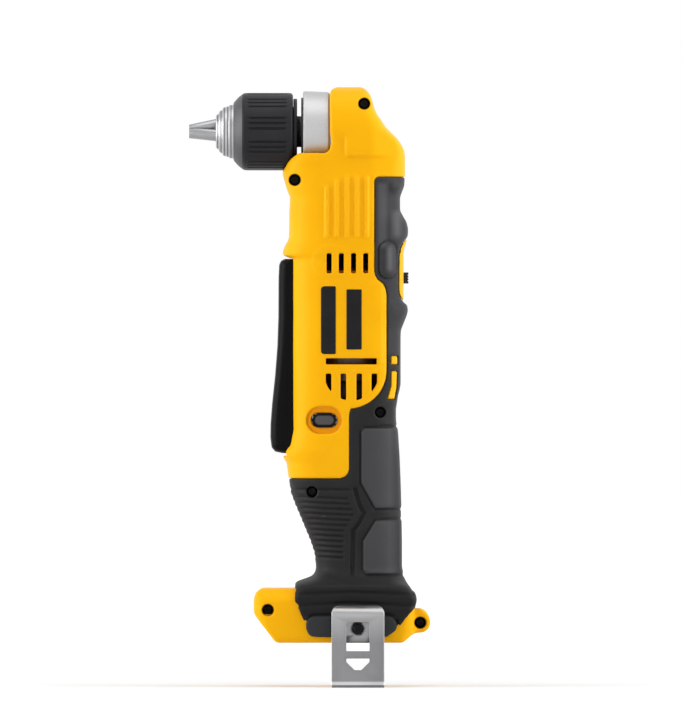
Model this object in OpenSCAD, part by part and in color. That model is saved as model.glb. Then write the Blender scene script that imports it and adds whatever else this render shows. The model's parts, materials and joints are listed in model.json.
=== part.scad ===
// Right angle drill with battery foot, paddle switch and keyless chuck.
// Millimetres. The chuck points along -X, the motor axis is Z, the halves meet at y = 0.
// z = 0 is the underside of the foot, where the battery slides on.

/* [Overall] */
// Height of the lower end of the motor above the underside of the foot
handle_h = 127.1; // [115:0.1:140]
// Motor axis to the front of the barrel
barrel_front = 32; // [29:0.1:38]
// Motor axis to the back of the barrel
barrel_back = 27.3; // [26:0.1:32]
// Half the width of the barrel
barrel_hw = 26; // [25:0.1:30]

/* [Housing] */
// Wall of the hollow handle
wall = 2.6; // [2:0.1:4]
// Gap round the pieces that the housing holds
seat_gap = 0.2; // [0.1:0.05:0.4]
// Thickness of the rubber grip
grip_t = 2; // [1.2:0.1:3]
// Gap between the rubber and the housing
grip_gap = 0.05; // [0.02:0.01:0.1]
// Wall of the head above the gear case
head_wall = 3.2; // [2.5:0.1:5]
// Gap between the chuck and the saddle in the nose
saddle_gap = 1.6; // [1:0.1:3]
// Depth of the shallow marks in the side
mark_t = 0.6; // [0.4:0.1:1]
// Width of one upright rib on the shoulder
rib_w = 2; // [1.4:0.1:3]
// Spacing of the upright ribs
rib_pitch = 5.4; // [4:0.1:7]
// Length of the upright ribs
rib_l = 30; // [20:0.5:36]
// Spacing of the grip ridges
ridge_pitch = 3.6; // [3:0.1:5]
// Depth of the grooves between the ridges
ridge_t = 0.8; // [0.4:0.1:1.2]

// Length of the bare plates on the near side
plate_l = 35.4; // [25:0.5:38]
// Width of the bare plates
plate_w = 7.3; // [5:0.1:9]
// Motor axis to the middle of the front plate
plate_x = 11.8; // [10:0.1:13]
// Motor axis to the middle of the back plate
plate_x2 = 1.9; // [0:0.1:4]

/* [Vents] */
// Width of one upper vent
vent_w = 2.4; // [1.6:0.1:3]
// Height of one upper vent
vent_h = 10.4; // [8:0.1:14]
// Spacing of the upper vents
vent_pitch = 6.6; // [5:0.1:8]
// Spacing of the lower vents
low_pitch = 8.2; // [6:0.1:10]
// Reach of the lower vents below their upper edge
low_r = 14.6; // [12:0.1:18]
// Height of the long slot above the lower vents
slot_h = 3.2; // [2:0.1:4]
// Length of the long slot
slot_l = 26.8; // [20:0.1:30]

/* [Foot] */
// Height of the front of the foot
foot_h = 29.2; // [26:0.1:34]
// Motor axis to the front of the foot
foot_front = 52.4; // [46:0.1:60]
// Motor axis to the end of the underside
foot_back = 32.4; // [30:0.1:36]
// Half the width of the foot
foot_hw = 30.4; // [29:0.1:34]
// Edge rounding of the foot
foot_edge = 2.4; // [1:0.1:4]
// Half the width of the battery channel
slide_hw = 21.5; // [20:0.1:23]
// Half the gap between the two rails
rail_hw = 17.5; // [15:0.1:19]
// Height of the rails
rail_h = 4; // [3:0.1:5]
// Height of the battery channel
slide_h = 15; // [12:0.1:15.4]
// Motor axis to the closed end of the channel
slide_end = 27; // [24:0.1:29]
// Radius of the screw boss behind the foot
boss_r = 5.4; // [5:0.1:7]

/* [Chuck] */
// Radius of the sleeve
sleeve_r = 20.2; // [19:0.1:21]
// Motor axis to the back of the sleeve
sleeve_back = 30.8; // [30.4:0.1:32]
// Length of the sleeve with its bevel
sleeve_l = 32.1; // [30:0.1:34]
// Length of the bevel at the front of the sleeve
bevel_l = 4.6; // [3:0.1:6]
// Radius of the front of the bevel
bevel_r = 15.6; // [15.4:0.1:17]
// Depth of the grooves along the sleeve
flute_t = 0.6; // [0.4:0.1:1]
// groups of three flutes round the sleeve
flute_groups = 10; // [6:1:12]
// angle from flute to flute
flute_step = 8; // [6:0.5:10]
// turn of the first group
flute_turn = -78; // [-90:1:90]
// Radius of the chuck body inside the sleeve
chuck_r = 13.8; // [13:0.1:14.5]
// Length of the nose in front of the sleeve
nose_l = 9.5; // [8:0.1:12]
// Radius of the front of the nose
nose_r = 8.7; // [8:0.1:10]
// Radius of the hole for the bit
bit_r = 5.2; // [5:0.1:5.6]
// Radius of the collar behind the sleeve
rear_r = 17.8; // [16:0.1:19]
// Radius of one jaw
jaw_r = 3.4; // [3:0.1:3.6]
// Length of one jaw
jaw_l = 33; // [30:0.1:34]
// Reach of the jaws in front of the nose
jaw_out = 14.5; // [12:0.1:16]
// Slope of the jaws to the spindle
jaw_slope = 12; // [11:0.1:13]
// Half the gap between closed jaws
jaw_gap = 0.15; // [0.1:0.05:0.3]
// Clearance of moving pieces
run_gap = 0.05; // [0.03:0.01:0.09]
// Clearance of pieces that are pressed together
press_gap = 0.02; // [0.01:0.01:0.04]
// radial clearance of screws and inserts in moulded holes
hole_gap = 0.1; // [0.05:0.05:0.2]
// Length of the nut on the jaws
nut_l = 5.6; // [4:0.1:6]

/* [Gear case] */
// Radius of the gear case in the head
case_r = 20.6; // [20:0.1:21]
// Radius of the bright ring in front of the head
ring_r = 21.9; // [21:0.1:23]
// Motor axis to the front of the ring
ring_front = 25.4; // [24:0.1:26]
// Motor axis to the front of the head
head_front = 11.3; // [10:0.1:12]
// Thickness of the spindle seal
seal_t = 1; // [0.6:0.1:1.4]
// Radius of the spindle seal
seal_r = 18.4; // [16:0.1:20]
// Radius of the spindle neck
neck_r = 8.4; // [8:0.1:9]
// Radius of the spindle in its front bearing
shaft_r = 6; // [5.5:0.1:7]
// Radius of the spindle thread in the chuck
thread_r = 4.7; // [4:0.1:5]
// Radius of the rear end of the spindle
tail_r = 4; // [3.5:0.1:4.5]
// Outer radius of the front bearing
bearing_r = 14; // [13:0.1:15]
// Width of the ball bearings
bearing_w = 8; // [7:0.1:9]

/* [Bevel gears] */
// Pitch radius of the bevel gear
gear_r = 16.8; // [16:0.1:17.2]
// Teeth of the bevel gear
gear_teeth = 24; // [24:1:24]
// Teeth of the bevel pinion
pinion_teeth = 12; // [12:1:12]
// Width of the bevel teeth
bevel_face = 6; // [5:0.1:7]
// Apex to the back of the bevel gear
gear_back = 12.6; // [12:0.1:13]
// Apex to the back of the pinion
pinion_back = 19.5; // [19:0.1:20.5]
// Length of the pinion shaft above its bearing
pinion_neck = 9; // [7:0.1:11]
// Radius of the pinion shaft
pinion_r = 4.5; // [4:0.1:5]
// Outer radius of the pinion bearing
pinion_bearing_r = 11; // [10:0.1:12]

/* [Planetary gears] */
// Pitch radius of the ring gears
ring_pitch_r = 16.8; // [16:0.1:17.2]
// Teeth of the motor pinion
sun_1 = 12; // [12:1:12]
// Teeth of the first planets
planet_1 = 18; // [18:1:18]
// Teeth of the second sun
sun_2 = 24; // [24:1:24]
// Teeth of the second planets
planet_2 = 12; // [12:1:12]
// Play between two teeth
tooth_play = 0.12; // [0.08:0.01:0.16]
// Width of the gears
face_w = 6.5; // [6:0.1:7.5]
// Thickness of the carriers
plate_t = 3; // [2.5:0.1:4]
// Play along the axis between the stages
end_play = 0.5; // [0.3:0.05:0.7]
// Radius of the planet pins
pin_r = 1.6; // [1.4:0.05:1.8]
// Wall outside the teeth of a ring gear
ring_wall = 1.2; // [1:0.1:1.5]
// Wall of the gearbox tube
tube_wall = 1.4; // [1.2:0.1:1.8]
// Travel of the shift ring
shift_travel = 4; // [3:0.1:4]

/* [Motor] */
// Radius of the motor can
can_r = 18; // [17:0.1:19]
// Length of the motor can
can_l = 57; // [50:0.5:60]
// Wall of the motor can
can_wall = 1.4; // [1:0.1:2]
// Thickness of the magnets
magnet_t = 4; // [3:0.1:5]
// Air gap round the armature
air_gap = 0.5; // [0.3:0.1:0.8]
// Radius of the motor shaft
motor_shaft_r = 2.5; // [2:0.1:2.8]
// Height of the fan
fan_h = 9; // [7:0.1:10]
// Space above and below the fan
fan_gap = 2.5; // [2:0.1:4]
// Length of the brush holder
cap_l = 14; // [12:0.1:15]
// Radius of the commutator
commutator_r = 8; // [7:0.1:9]

/* [Paddle] */
// Depth of the paddle pivot behind the barrel face
pivot_in = 5.4; // [5:0.1:6]
// Reach of the paddle above its pivot
paddle_over = 8.8; // [6:0.1:9]
// Reach of the paddle below the switch plunger
paddle_under = 3.5; // [3:0.1:8]
// Radius of the pivot pin
pivot_r = 2; // [1.5:0.1:2.4]
// Half the width of the paddle
paddle_hw = 12; // [10:0.1:14]
// Depth of the paddle inside the barrel face
paddle_in = 3; // [2:0.1:4]
// Side clearance of the paddle
paddle_gap = 0.3; // [0.2:0.05:0.5]
// Room behind the paddle for its travel
paddle_room = 7.4; // [7.2:0.1:8]
// room under the paddle, whose lower end dips as it swings in
paddle_dip = 1.4; // [1.2:0.1:2]

/* [Controls] */
// Motor axis to the middle of the direction button
button_x = 13.9; // [13:0.1:15]
// Middle of the direction button below the motor
button_drop = 7.2; // [6.6:0.1:10]
// Length of the direction button
button_l = 13.8; // [12:0.1:14.2]
// Width of the direction button
button_w = 7.4; // [6:0.1:8]
// Length of the dish round the direction button
dish_l = 19; // [17:0.1:21]
// Width of the dish round the direction button
dish_w = 14.6; // [12:0.1:16]
// Depth of the dish
dish_t = 2; // [1:0.1:3]
// Height of the switch body
switch_h = 20; // [18:0.1:22]
// Half the width of the switch body
switch_hw = 10; // [8:0.1:12]
// Motor axis to the front of the switch body
switch_front = 17; // [16:0.1:18]
// Motor axis to the back of the switch body
switch_back = 9; // [8:0.1:9.4]
// Radius of the switch plunger
plunger_r = 3; // [2.5:0.1:4]
// Length of the shift fork from the top of the shift ring to the middle of its button
fork_l = 38.75; // [36:0.05:42]
// Reach of the yellow window below the shift button
pane_drop = 11.1; // [10:0.1:12]
// Reach of the yellow window above the shift button
pane_rise = 15.3; // [12:0.1:16]
// Width of the shift button
shift_w = 6; // [5:0.1:7]
// Reach of the shift button outside the housing
shift_out = 2.6; // [2:0.1:3.5]
// Thickness of the shift fork
fork_t = 1.6; // [1.2:0.1:1.8]
// Radius of the worklight lens
lens_r = 3.2; // [2.5:0.1:4]
// Length of the worklight lens
lens_l = 4; // [3:0.1:5]

/* [Belt hook] */
// Width of the belt hook
hook_w = 28.4; // [24:0.1:32]
// Thickness of the steel
hook_t = 1.8; // [1.4:0.1:2.2]
// Gap between the two legs
hook_gap = 8.6; // [7:0.1:11]
// Top of the outer leg above the foot
hook_top = 20.5; // [18:0.1:22]
// Reach of the hook below the foot
hook_low = 23.8; // [20:0.1:28]
// Motor axis to the middle of the hook
hook_x = 4.2; // [2:0.1:6]
// Height of the hook screw above the foot
hook_screw_h = 7.6; // [7:0.1:9]
// Radius of the hook thread
hook_thread_r = 2; // [1.5:0.05:2.2]
// radius of the head of the hook screw
hook_head_r = 3; // [2.8:0.1:3.6]
// Radius of the threaded insert
insert_r = 3.4; // [3:0.1:4]
// Length of the threaded insert
insert_l = 8; // [6:0.1:8.6]
// Width of the windows in the hook
window_w = 12.4; // [10:0.1:14]
// Top of the upper window above the foot
window_top = 11.4; // [10:0.1:12]
// Height of the upper window
window_l = 15.6; // [12:0.1:18]
// Top of the lower window below the foot
hook_bar_h = 8.2; // [7.5:0.1:10]
// Rounding of the upper corners of the hook
hook_corner = 4.4; // [3:0.1:6]

/* [Fasteners] */
// Radius of a housing screw
screw_r = 1.7; // [1.5:0.05:2]
// Radius of a screw head
head_r = 2.4; // [2.2:0.05:2.8]
// Height of a screw head
head_t = 2.2; // [1.8:0.1:2.6]
// Length of a housing screw under its head
screw_l = 20; // [16:0.5:24]
// Wall of a screw boss
boss_wall = 1.6; // [1.2:0.1:2]

/* [Hidden] */
$fn = 48;
// Overrun of cuts past a face
over = 1;
// Points round a full section of the housing
ring_points = 22;

// Motor and gear stack, from the lower end of the motor up to the spindle axis
cap_h = handle_h;
can_h = cap_h + cap_l;
can_top = can_h + can_l;
fan_top = can_top + fan_gap + fan_h;
tube_h = fan_top + 2 * fan_gap;
floor_h = tube_h + plate_t;
stage_1_h = floor_h + end_play + face_w;
carrier_1_h = stage_1_h + end_play + plate_t;
stage_2_h = carrier_1_h + end_play + face_w;
carrier_2_h = stage_2_h + end_play + plate_t;
pinion_bearing_h = carrier_2_h + end_play + bearing_w;
spindle_h = pinion_bearing_h + pinion_neck + pinion_back;
dome_r = case_r + seat_gap + head_wall;

// Heights of the sections, as shares of the spindle height. Above 1 the rest is a share of the dome.
section_shares = [
    0.013, 0.058, 0.083, 0.105, 0.113, 0.119, 0.125, 0.132, 0.145, 0.176, 0.200, 0.235, 0.270, 0.292,
    0.352, 0.366, 0.376, 0.387, 0.416, 0.447, 0.4825, 0.505, 0.600, 0.627, 0.6495, 0.660, 0.668, 0.7525,
    0.757, 0.7735, 0.793, 0.805, 0.823, 0.8455, 0.871, 0.8925, 0.9145, 0.940, 0.9545, 0.960, 0.964, 0.976,
    0.999, 1.1245, 1.2656, 1.5145, 1.731, 1.88, 2];
// Sections of the core under the rubber
core_shares = [
    0.013, 0.083, 0.105, 0.116, 0.130, 0.145, 0.200, 0.270, 0.292, 0.352, 0.447, 0.505, 0.600,
    0.6495, 0.668, 0.771, 0.805, 0.8455, 0.871, 0.9145];
// Front of each section: height share, share of the barrel front
front_shares = [
    [0.013, 0.72], [0.035, 0.775], [0.047, 0.828], [0.058, 0.875], [0.070, 0.913], [0.083, 0.944],
    [0.096, 0.944], [0.113, 0.935], [0.119, 0.910], [0.124, 0.780], [0.130, 0.640], [0.138, 0.590],
    [0.147, 0.575], [0.155, 0.580], [0.176, 0.606], [0.200, 0.675], [0.2235, 0.760], [0.247, 0.844],
    [0.270, 0.928], [0.292, 0.997], [0.3175, 1.028], [0.329, 1.047], [0.352, 1.072], [0.360, 1.120],
    [0.366, 1.144], [0.376, 1.144], [0.385, 1.063], [0.400, 1.030], [0.416, 1.000], [0.7525, 1.000],
    [0.757, 1.135], [0.7625, 1.141], [0.7735, 1.1125], [0.7835, 1.0625], [0.793, 1.030], [0.8345, 1.028],
    [0.871, 1.0125], [0.885, 1.0625], [0.905, 1.1125], [0.9215, 1.147], [0.940, 1.081], [0.9545, 0.9375],
    [0.960, 0.700], [0.964, 0.470], [0.970, 0.400], [0.980, 0.353], [1.797, 0.353], [1.9295, 0.330],
        [2, 0.24]];
// Back of each section: height share, share of the barrel back
back_shares = [
    [0.013, 0.900], [0.035, 1.040], [0.047, 1.100], [0.058, 1.198], [0.070, 1.275], [0.0825, 1.297],
    [0.0945, 1.267], [0.105, 1.209], [0.1175, 1.117], [0.129, 1.059], [0.147, 1.018], [0.200, 1.018],
    [0.258, 1.007], [0.319, 0.989], [0.363, 0.971], [0.410, 0.941], [0.437, 0.908], [0.457, 0.908],
    [0.470, 0.930], [0.4825, 0.949], [0.4935, 0.978], [0.505, 1.000], [0.600, 1.000], [0.6115, 1.007],
    [0.627, 1.070], [0.6385, 1.117], [0.6495, 1.147], [0.660, 1.130], [0.668, 1.0586], [0.762, 1.0586],
    [0.772, 1.075], [0.785, 1.120], [0.800, 1.147], [0.811, 1.147], [0.823, 1.117], [0.8345, 1.048],
    [0.8455, 0.989], [0.871, 0.989], [0.882, 1.026], [0.8925, 1.070], [0.9145, 1.088], [0.951, 1.088],
    [0.964, 1.070], [0.976, 1.007], [0.987, 0.930], [0.999, 0.802], [1.1245, 0.692], [1.2656, 0.612],
    [1.39, 0.535], [1.5145, 0.4835], [1.664, 0.447], [1.797, 0.414], [1.9295, 0.337], [2, 0.238]];
// Half width of each section: height share, share of the barrel half width
side_shares = [
    [0.013, 1.22], [0.105, 1.22], [0.113, 1.18], [0.119, 1.06], [0.125, 0.92], [0.132, 0.83],
    [0.145, 0.78], [0.155, 0.775], [0.200, 0.78], [0.250, 0.80], [0.300, 0.84], [0.360, 0.90], [0.420, 0.95],
    [0.500, 0.985], [0.560, 1.0], [0.800, 1.0], [0.880, 0.98], [0.950, 0.96], [1, 0.93], [1.1245, 0.92],
    [1.2656, 0.89], [1.39, 0.855], [1.5145, 0.80], [1.664, 0.71], [1.797, 0.58], [1.9295, 0.37], [2, 0.12]];
// Squareness of each section at the back and at the front
square_shares = [
    [0.013, 14], [0.090, 14], [0.1175, 4], [0.138, 2.8], [0.300, 2.7], [0.420, 3], [0.880, 3], [0.930, 3.4],
    [0.970, 5], [1, 6], [2, 6]];
nose_shares = [
    [0.013, 14], [0.090, 14], [0.1175, 4], [0.138, 2.8], [0.300, 2.7], [0.420, 3], [0.880, 3], [0.930, 3.4],
    [0.955, 5], [0.970, 12], [1, 16], [1.7, 16], [2, 8]];

function rise(s) = s > 1 ? spindle_h + (s - 1) * dome_r : s * spindle_h;
function front_at(s) = -barrel_front * lookup(s, front_shares);
function back_at(s) = barrel_back * lookup(s, back_shares);
function side_at(s) = barrel_hw * lookup(s, side_shares);
function share_at(z) = z > spindle_h ? 1 + (z - spindle_h) / dome_r : z / spindle_h;
function bent(c, n) = sign(c) * pow(abs(c), 2 / n);
// Half width of the side at a place seen from the side
function side_y(x, z) =
    let (s = share_at(z), f = front_at(s), b = back_at(s),
        n = lookup(s, 2 * x < f + b ? nose_shares : square_shares),
        e = min(1, abs(2 * x - f - b) / (b - f)))
    side_at(s) * pow(1 - pow(e, n), 1 / n);
function section(s, inset) =
    let (f = front_at(s) + inset, b = back_at(s) - inset, w = side_at(s) - inset)
    [for (i = [0 : ring_points - 1])
        let (a = 360 * i / ring_points, n = lookup(s, cos(a) < 0 ? nose_shares : square_shares))
        [(f + b) / 2 + (b - f) / 2 * bent(cos(a), n), w * bent(sin(a), n), rise(s)]];

// Gears
bevel_m = 2 * gear_r / gear_teeth;
bevel_r2 = bevel_m * pinion_teeth / 2;
cone_l = sqrt(gear_r * gear_r + bevel_r2 * bevel_r2);
gear_angle = atan(gear_teeth / pinion_teeth);
rotor_r = can_r - can_wall - magnet_t - air_gap;
// Air holes, core length, magnet width and commutator end, as shares of the can and the cap
port_share = 0.68;
core_l_share = 0.7;
magnet_share = 0.6;
ring_end_share = 0.55;
ring_teeth = sun_1 + 2 * planet_1;
tooth_m = 2 * ring_pitch_r / ring_teeth;
tip_share = 0.85;
root_share = 1.1;
pressure = 25;
ring_out_r = ring_pitch_r + root_share * tooth_m + ring_wall;
tube_in_r = ring_out_r + run_gap;
tube_r = tube_in_r + tube_wall;
orbit_1 = tooth_m * (sun_1 + planet_1) / 2;
orbit_2 = tooth_m * (sun_2 + planet_2) / 2;
carrier_r = orbit_1 + pin_r + 2 * end_play;
carrier_2_r = orbit_2 + pin_r + end_play;
neck_tube_r = pinion_bearing_r + tube_wall;
case_tail = gear_back - end_play;
bearing_back = gear_back + end_play;
bearing_front = bearing_back + bearing_w;
bush_l = bearing_w / 2;

// Vents follow the fan and the brush end of the motor, a little off the motor axis
vent_shift_share = 0.265;
vent_mid_h = fan_top - fan_h / 2;
low_h = can_h + can_l / 10;
slot_mid_h = low_h + low_r / 2 - slot_h / 2;
vent_shift = -vent_pitch * vent_shift_share;

// Chuck places, measured forward from the motor axis
sleeve_front = sleeve_back + sleeve_l;
nose_front = sleeve_front + nose_l;
jaw_tip = nose_front + jaw_out;
rear_front = sleeve_back - seat_gap;
rear_t = seal_t * 2;
neck_front = rear_front - rear_t;
nut_back = sleeve_front - 2 * bevel_l - seat_gap;
nut_in_r = jaw_r + jaw_r / cos(jaw_slope) + (jaw_tip - nut_back) * tan(jaw_slope);
nut_r = nut_in_r + plate_t + press_gap;
thread_l = jaw_l / 3;
jaw_mid_r = jaw_r / 10;
step_shares = [[0, 1], [0.25, 0.94], [0.27, 0.86], [0.6, 0.72], [0.62, 0.55], [0.82, 0.36],
    [0.84, 0.18], [1, 0]];

// Paddle outline: share of the height from bottom to top, share of the outward reach
button_h = cap_h - button_drop;
switch_top = button_h - button_w / 2 - seat_gap - end_play;
switch_low = switch_top - switch_h;
plunger_h = switch_low + switch_h / 2;
pivot_h = can_top;
pivot_x = barrel_front - pivot_in;
paddle_out_share = 0.345;
paddle_bottom = plunger_h - paddle_under;
paddle_top = pivot_h + paddle_over;
paddle_out = barrel_front * paddle_out_share;
paddle_shares = [
    [0, 0.55], [0.008, 0.83], [0.03, 0.97], [0.08, 1], [0.15, 0.99], [0.25, 0.92], [0.4, 0.77], [0.55, 0.66],
    [0.7, 0.61], [0.9, 0.6], [0.97, 0.58], [0.99, 0.5], [1, 0.35]];
slot_bottom = paddle_bottom - paddle_dip;
slot_top = paddle_top + paddle_gap;
slot_depth = barrel_front - paddle_in - paddle_room;

// Controls
dir_x = -button_x;
plunger_front = barrel_front - paddle_in - paddle_gap;
fork_in = tube_r + seat_gap;
fork_out = fork_in + fork_t;
fork_hw = shift_w / 2;
ring_2_top = stage_2_h + end_play / 2;
ring_2_h = face_w + end_play / 2;
shift_h = ring_2_top - fork_l;
// Heights of the worklight, the upright ribs and the bare plates as shares of the spindle height
lens_share = 0.82;
rib_share = 0.84;
plate_share = 0.632;
lens_h = spindle_h * lens_share;
lens_front = -front_at(lens_share);

// Screws: share of the barrel front, height, and depth of the head as a share of the half width
screw_x_shares = [-0.93, 0.236, 0.506, -0.641];
screw_depth_shares = [0.42, 0.42, 0.5, 0.42];
head_screw_share = 0.62;
screw_heights = [spindle_h - sleeve_r - 2 * plate_t, spindle_h + head_screw_share * dome_r,
    cap_h - plate_t, switch_low - 2 * boss_r - 2 * screw_r];
foot_screw_h = slide_h + screw_r + boss_wall / 2 + seat_gap;
foot_screw_x = -foot_front + 2 * boss_r - boss_r / 2;
boss_x = foot_back + boss_r;
boss_h = 2 * boss_r;
screw_places = concat(
    [for (i = [0 : len(screw_heights) - 1])
        let (x = screw_x_shares[i] * barrel_front, z = screw_heights[i])
        [x, z, screw_depth_shares[i] * side_y(x, z)]],
    [[foot_screw_x, foot_screw_h, foot_hw / 2], [boss_x, boss_h, foot_hw / 3]]);

// Outline of the rubber seen from the side: shares of the barrel back and the spindle height
panel_share = 0.742;
panel_ease_share = 0.04;
strip_share = 0.475;
strip_top_share = 0.911;
edge_share = -0.02;
edge_low_share = 0.3215;
corner_share = 0.2;
panel_x = panel_share * barrel_back;
strip_x = strip_share * barrel_back;
strip_h = strip_top_share * spindle_h;
panel_r = panel_x + barrel_back * panel_ease_share;
edge_x = edge_share * barrel_back;
edge_h = edge_low_share * spindle_h;
corner_r = corner_share * barrel_back;
bend_shares = [[0.475, 0.733], [0.49, 0.722], [0.565, 0.7095], [0.675, 0.699], [0.73, 0.6895],
    [0.742, 0.678]];
grip_outline = concat(
    [[3 * barrel_back, strip_h], [strip_x + corner_r / 2, strip_h], [strip_x, strip_h - corner_r / 2]],
    [for (p = bend_shares) [p[0] * barrel_back, p[1] * spindle_h]],
    [for (a = [0 : -10.75 : -86]) [panel_x - panel_r + panel_r * cos(a), low_h + panel_r * sin(a)]],
    [[edge_x, low_h - panel_r - corner_r / 2]],
    [for (a = [0 : -22.5 : -90])
        [edge_x - corner_r + corner_r * cos(a), edge_h + corner_r + corner_r * sin(a)]],
    [[-2 * barrel_front, edge_h], [-2 * barrel_front, -edge_h], [3 * barrel_back, -edge_h]]);
// Window of the shift button in the rubber at the back
pane_back_share = 0.955;
pane_low_h = shift_h - pane_drop;
pane_top_h = shift_h + pane_rise;
pane_x = pane_back_share * barrel_back;

// Lower and upper end of the foot's upright front edge, as shares of the foot height
foot_step_shares = [0.55, 0.8];

// Hook
hook_face = side_at(0.05) + seat_gap;
hook_bend_r = hook_gap / 2;
hook_bend_h = hook_top - hook_bend_r - hook_t;
lip_h = 2 * hook_t;
hook_out = hook_face + hook_t + hook_gap;

steel = [0.62, 0.63, 0.65];
bright = [0.78, 0.78, 0.78];
black = [0.12, 0.12, 0.13];
rubber = [0.2, 0.2, 0.21];
yellow = [0.98, 0.72, 0.1];
brass = [0.78, 0.6, 0.3];
copper = [0.75, 0.42, 0.25];

// Involute in degrees
function inv(a) = tan(a) * 180 / PI - a;
function tooth_half(r, pr, teeth, play) =
    let (br = pr * cos(pressure), q = max(r, br))
    90 / teeth - play / pr * 90 / PI + inv(pressure) - inv(acos(min(1, br / q)));
// Outline of a spur gear with the given reach above and below its pitch circle
function spur(teeth, m, up, down, play) =
    let (pr = m * teeth / 2,
        radii = [pr - down, max(pr * cos(pressure), pr - down), pr, pr + up / 2, pr + up])
    [for (i = [0 : teeth - 1], side = [-1, 1], k = [0 : 4])
        let (r = radii[side < 0 ? k : 4 - k], a = 360 * i / teeth + side * tooth_half(r, pr, teeth, play))
        [r * cos(a), r * sin(a)]];
// Outline of a straight bevel gear in the plane at height h from its apex
function bevel(teeth, angle, h) =
    let (pr = bevel_m * teeth / 2, vr = pr / cos(angle),
        reach = [-root_share, -root_share / 2, 0, tip_share / 2, tip_share])
    [for (i = [0 : teeth - 1], side = [-1, 1], k = [0 : 4])
        let (t = bevel_m * reach[side < 0 ? k : 4 - k], vt = vr * 2 / bevel_m,
            half = tooth_half(vr + t, vr, vt, tooth_play) * (vr + t) / (pr + t * cos(angle)),
            r = h * (pr + t * cos(angle)) / (cone_l * cos(angle) - t * sin(angle)),
            a = 360 * i / teeth + side * half)
        [r * cos(a), r * sin(a)]];

module along_spindle() {
    translate([0, 0, spindle_h]) rotate([0, -90, 0]) children();
}

// Seen from the side: x stays, the sketch's y becomes z, the depth runs along y
module from_side(depth, start) {
    translate([0, start + depth, 0]) rotate([90, 0, 0]) linear_extrude(depth) children();
}

module slot_shape(w, h) {
    hull() {
        translate([0, h / 2 - w / 2]) circle(w / 2, $fn = 8);
        translate([0, w / 2 - h / 2]) circle(w / 2, $fn = 8);
    }
}

module skin(shares, inset) {
    rows = len(shares);
    points = [for (s = shares) each section(s, inset)];
    sides = [for (j = [0 : rows - 2], i = [0 : ring_points - 1])
        let (k = (i + 1) % ring_points, a = j * ring_points, b = a + ring_points)
        each [[a + i, b + k, a + k], [a + i, b + i, b + k]]];
    ends = [[for (i = [0 : ring_points - 1]) i],
        [for (i = [ring_points - 1 : -1 : 0]) (rows - 1) * ring_points + i]];
    polyhedron(points, concat(sides, ends));
}

module tube(r_out, r_in, h) {
    difference() {
        cylinder(h, r_out, r_out);
        translate([0, 0, -over]) cylinder(h + 2 * over, r_in, r_in);
    }
}

module grip_area(gap) {
    from_side(4 * barrel_hw, -2 * barrel_hw) difference() {
        offset(delta = -gap) polygon(grip_outline);
        offset(delta = gap) translate([pane_x, pane_low_h]) square([barrel_back, pane_top_h - pane_low_h]);
    }
}

module half_space(side) {
    translate([-2 * foot_front, side < 0 ? -3 * barrel_hw : 0, -spindle_h])
        cube([4 * foot_front, 3 * barrel_hw, 3 * spindle_h]);
}

module foot_side() {
    polygon([[foot_edge * 5 - foot_front, 0], [foot_back, 0], [foot_back + foot_edge, boss_h],
        [foot_back, foot_h - foot_edge], [-barrel_front / 2, foot_h], [foot_edge * 2 - foot_front, foot_h],
        [foot_edge / 2 - foot_front, foot_h - foot_edge], [-foot_front, foot_h * foot_step_shares[1]],
        [-foot_front, foot_h * foot_step_shares[0]]]);
}

module foot_block() {
    intersection() {
        hull() {
            from_side(2 * foot_hw - 2 * foot_edge, foot_edge - foot_hw) foot_side();
            from_side(2 * foot_hw, -foot_hw) offset(delta = -foot_edge / 2) foot_side();
        }
        hull() for (x = [4 * foot_edge - foot_front, foot_back - 2 * foot_edge], y = [-1, 1])
            translate([x, y * (foot_hw - 4 * foot_edge), -over])
                cylinder(2 * foot_h, 4 * foot_edge, 4 * foot_edge, $fn = 32);
    }
    from_side(2 * foot_hw - 6 * foot_edge, 3 * foot_edge - foot_hw) hull() {
        translate([boss_x, boss_h]) circle(boss_r, $fn = 32);
        translate([foot_back - 3 * boss_r, 0]) square([boss_r, 3 * boss_r]);
    }
}

module at_screws() {
    for (p = screw_places) translate([p[0], -p[2], p[1]]) rotate([-90, 0, 0]) children();
}

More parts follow.
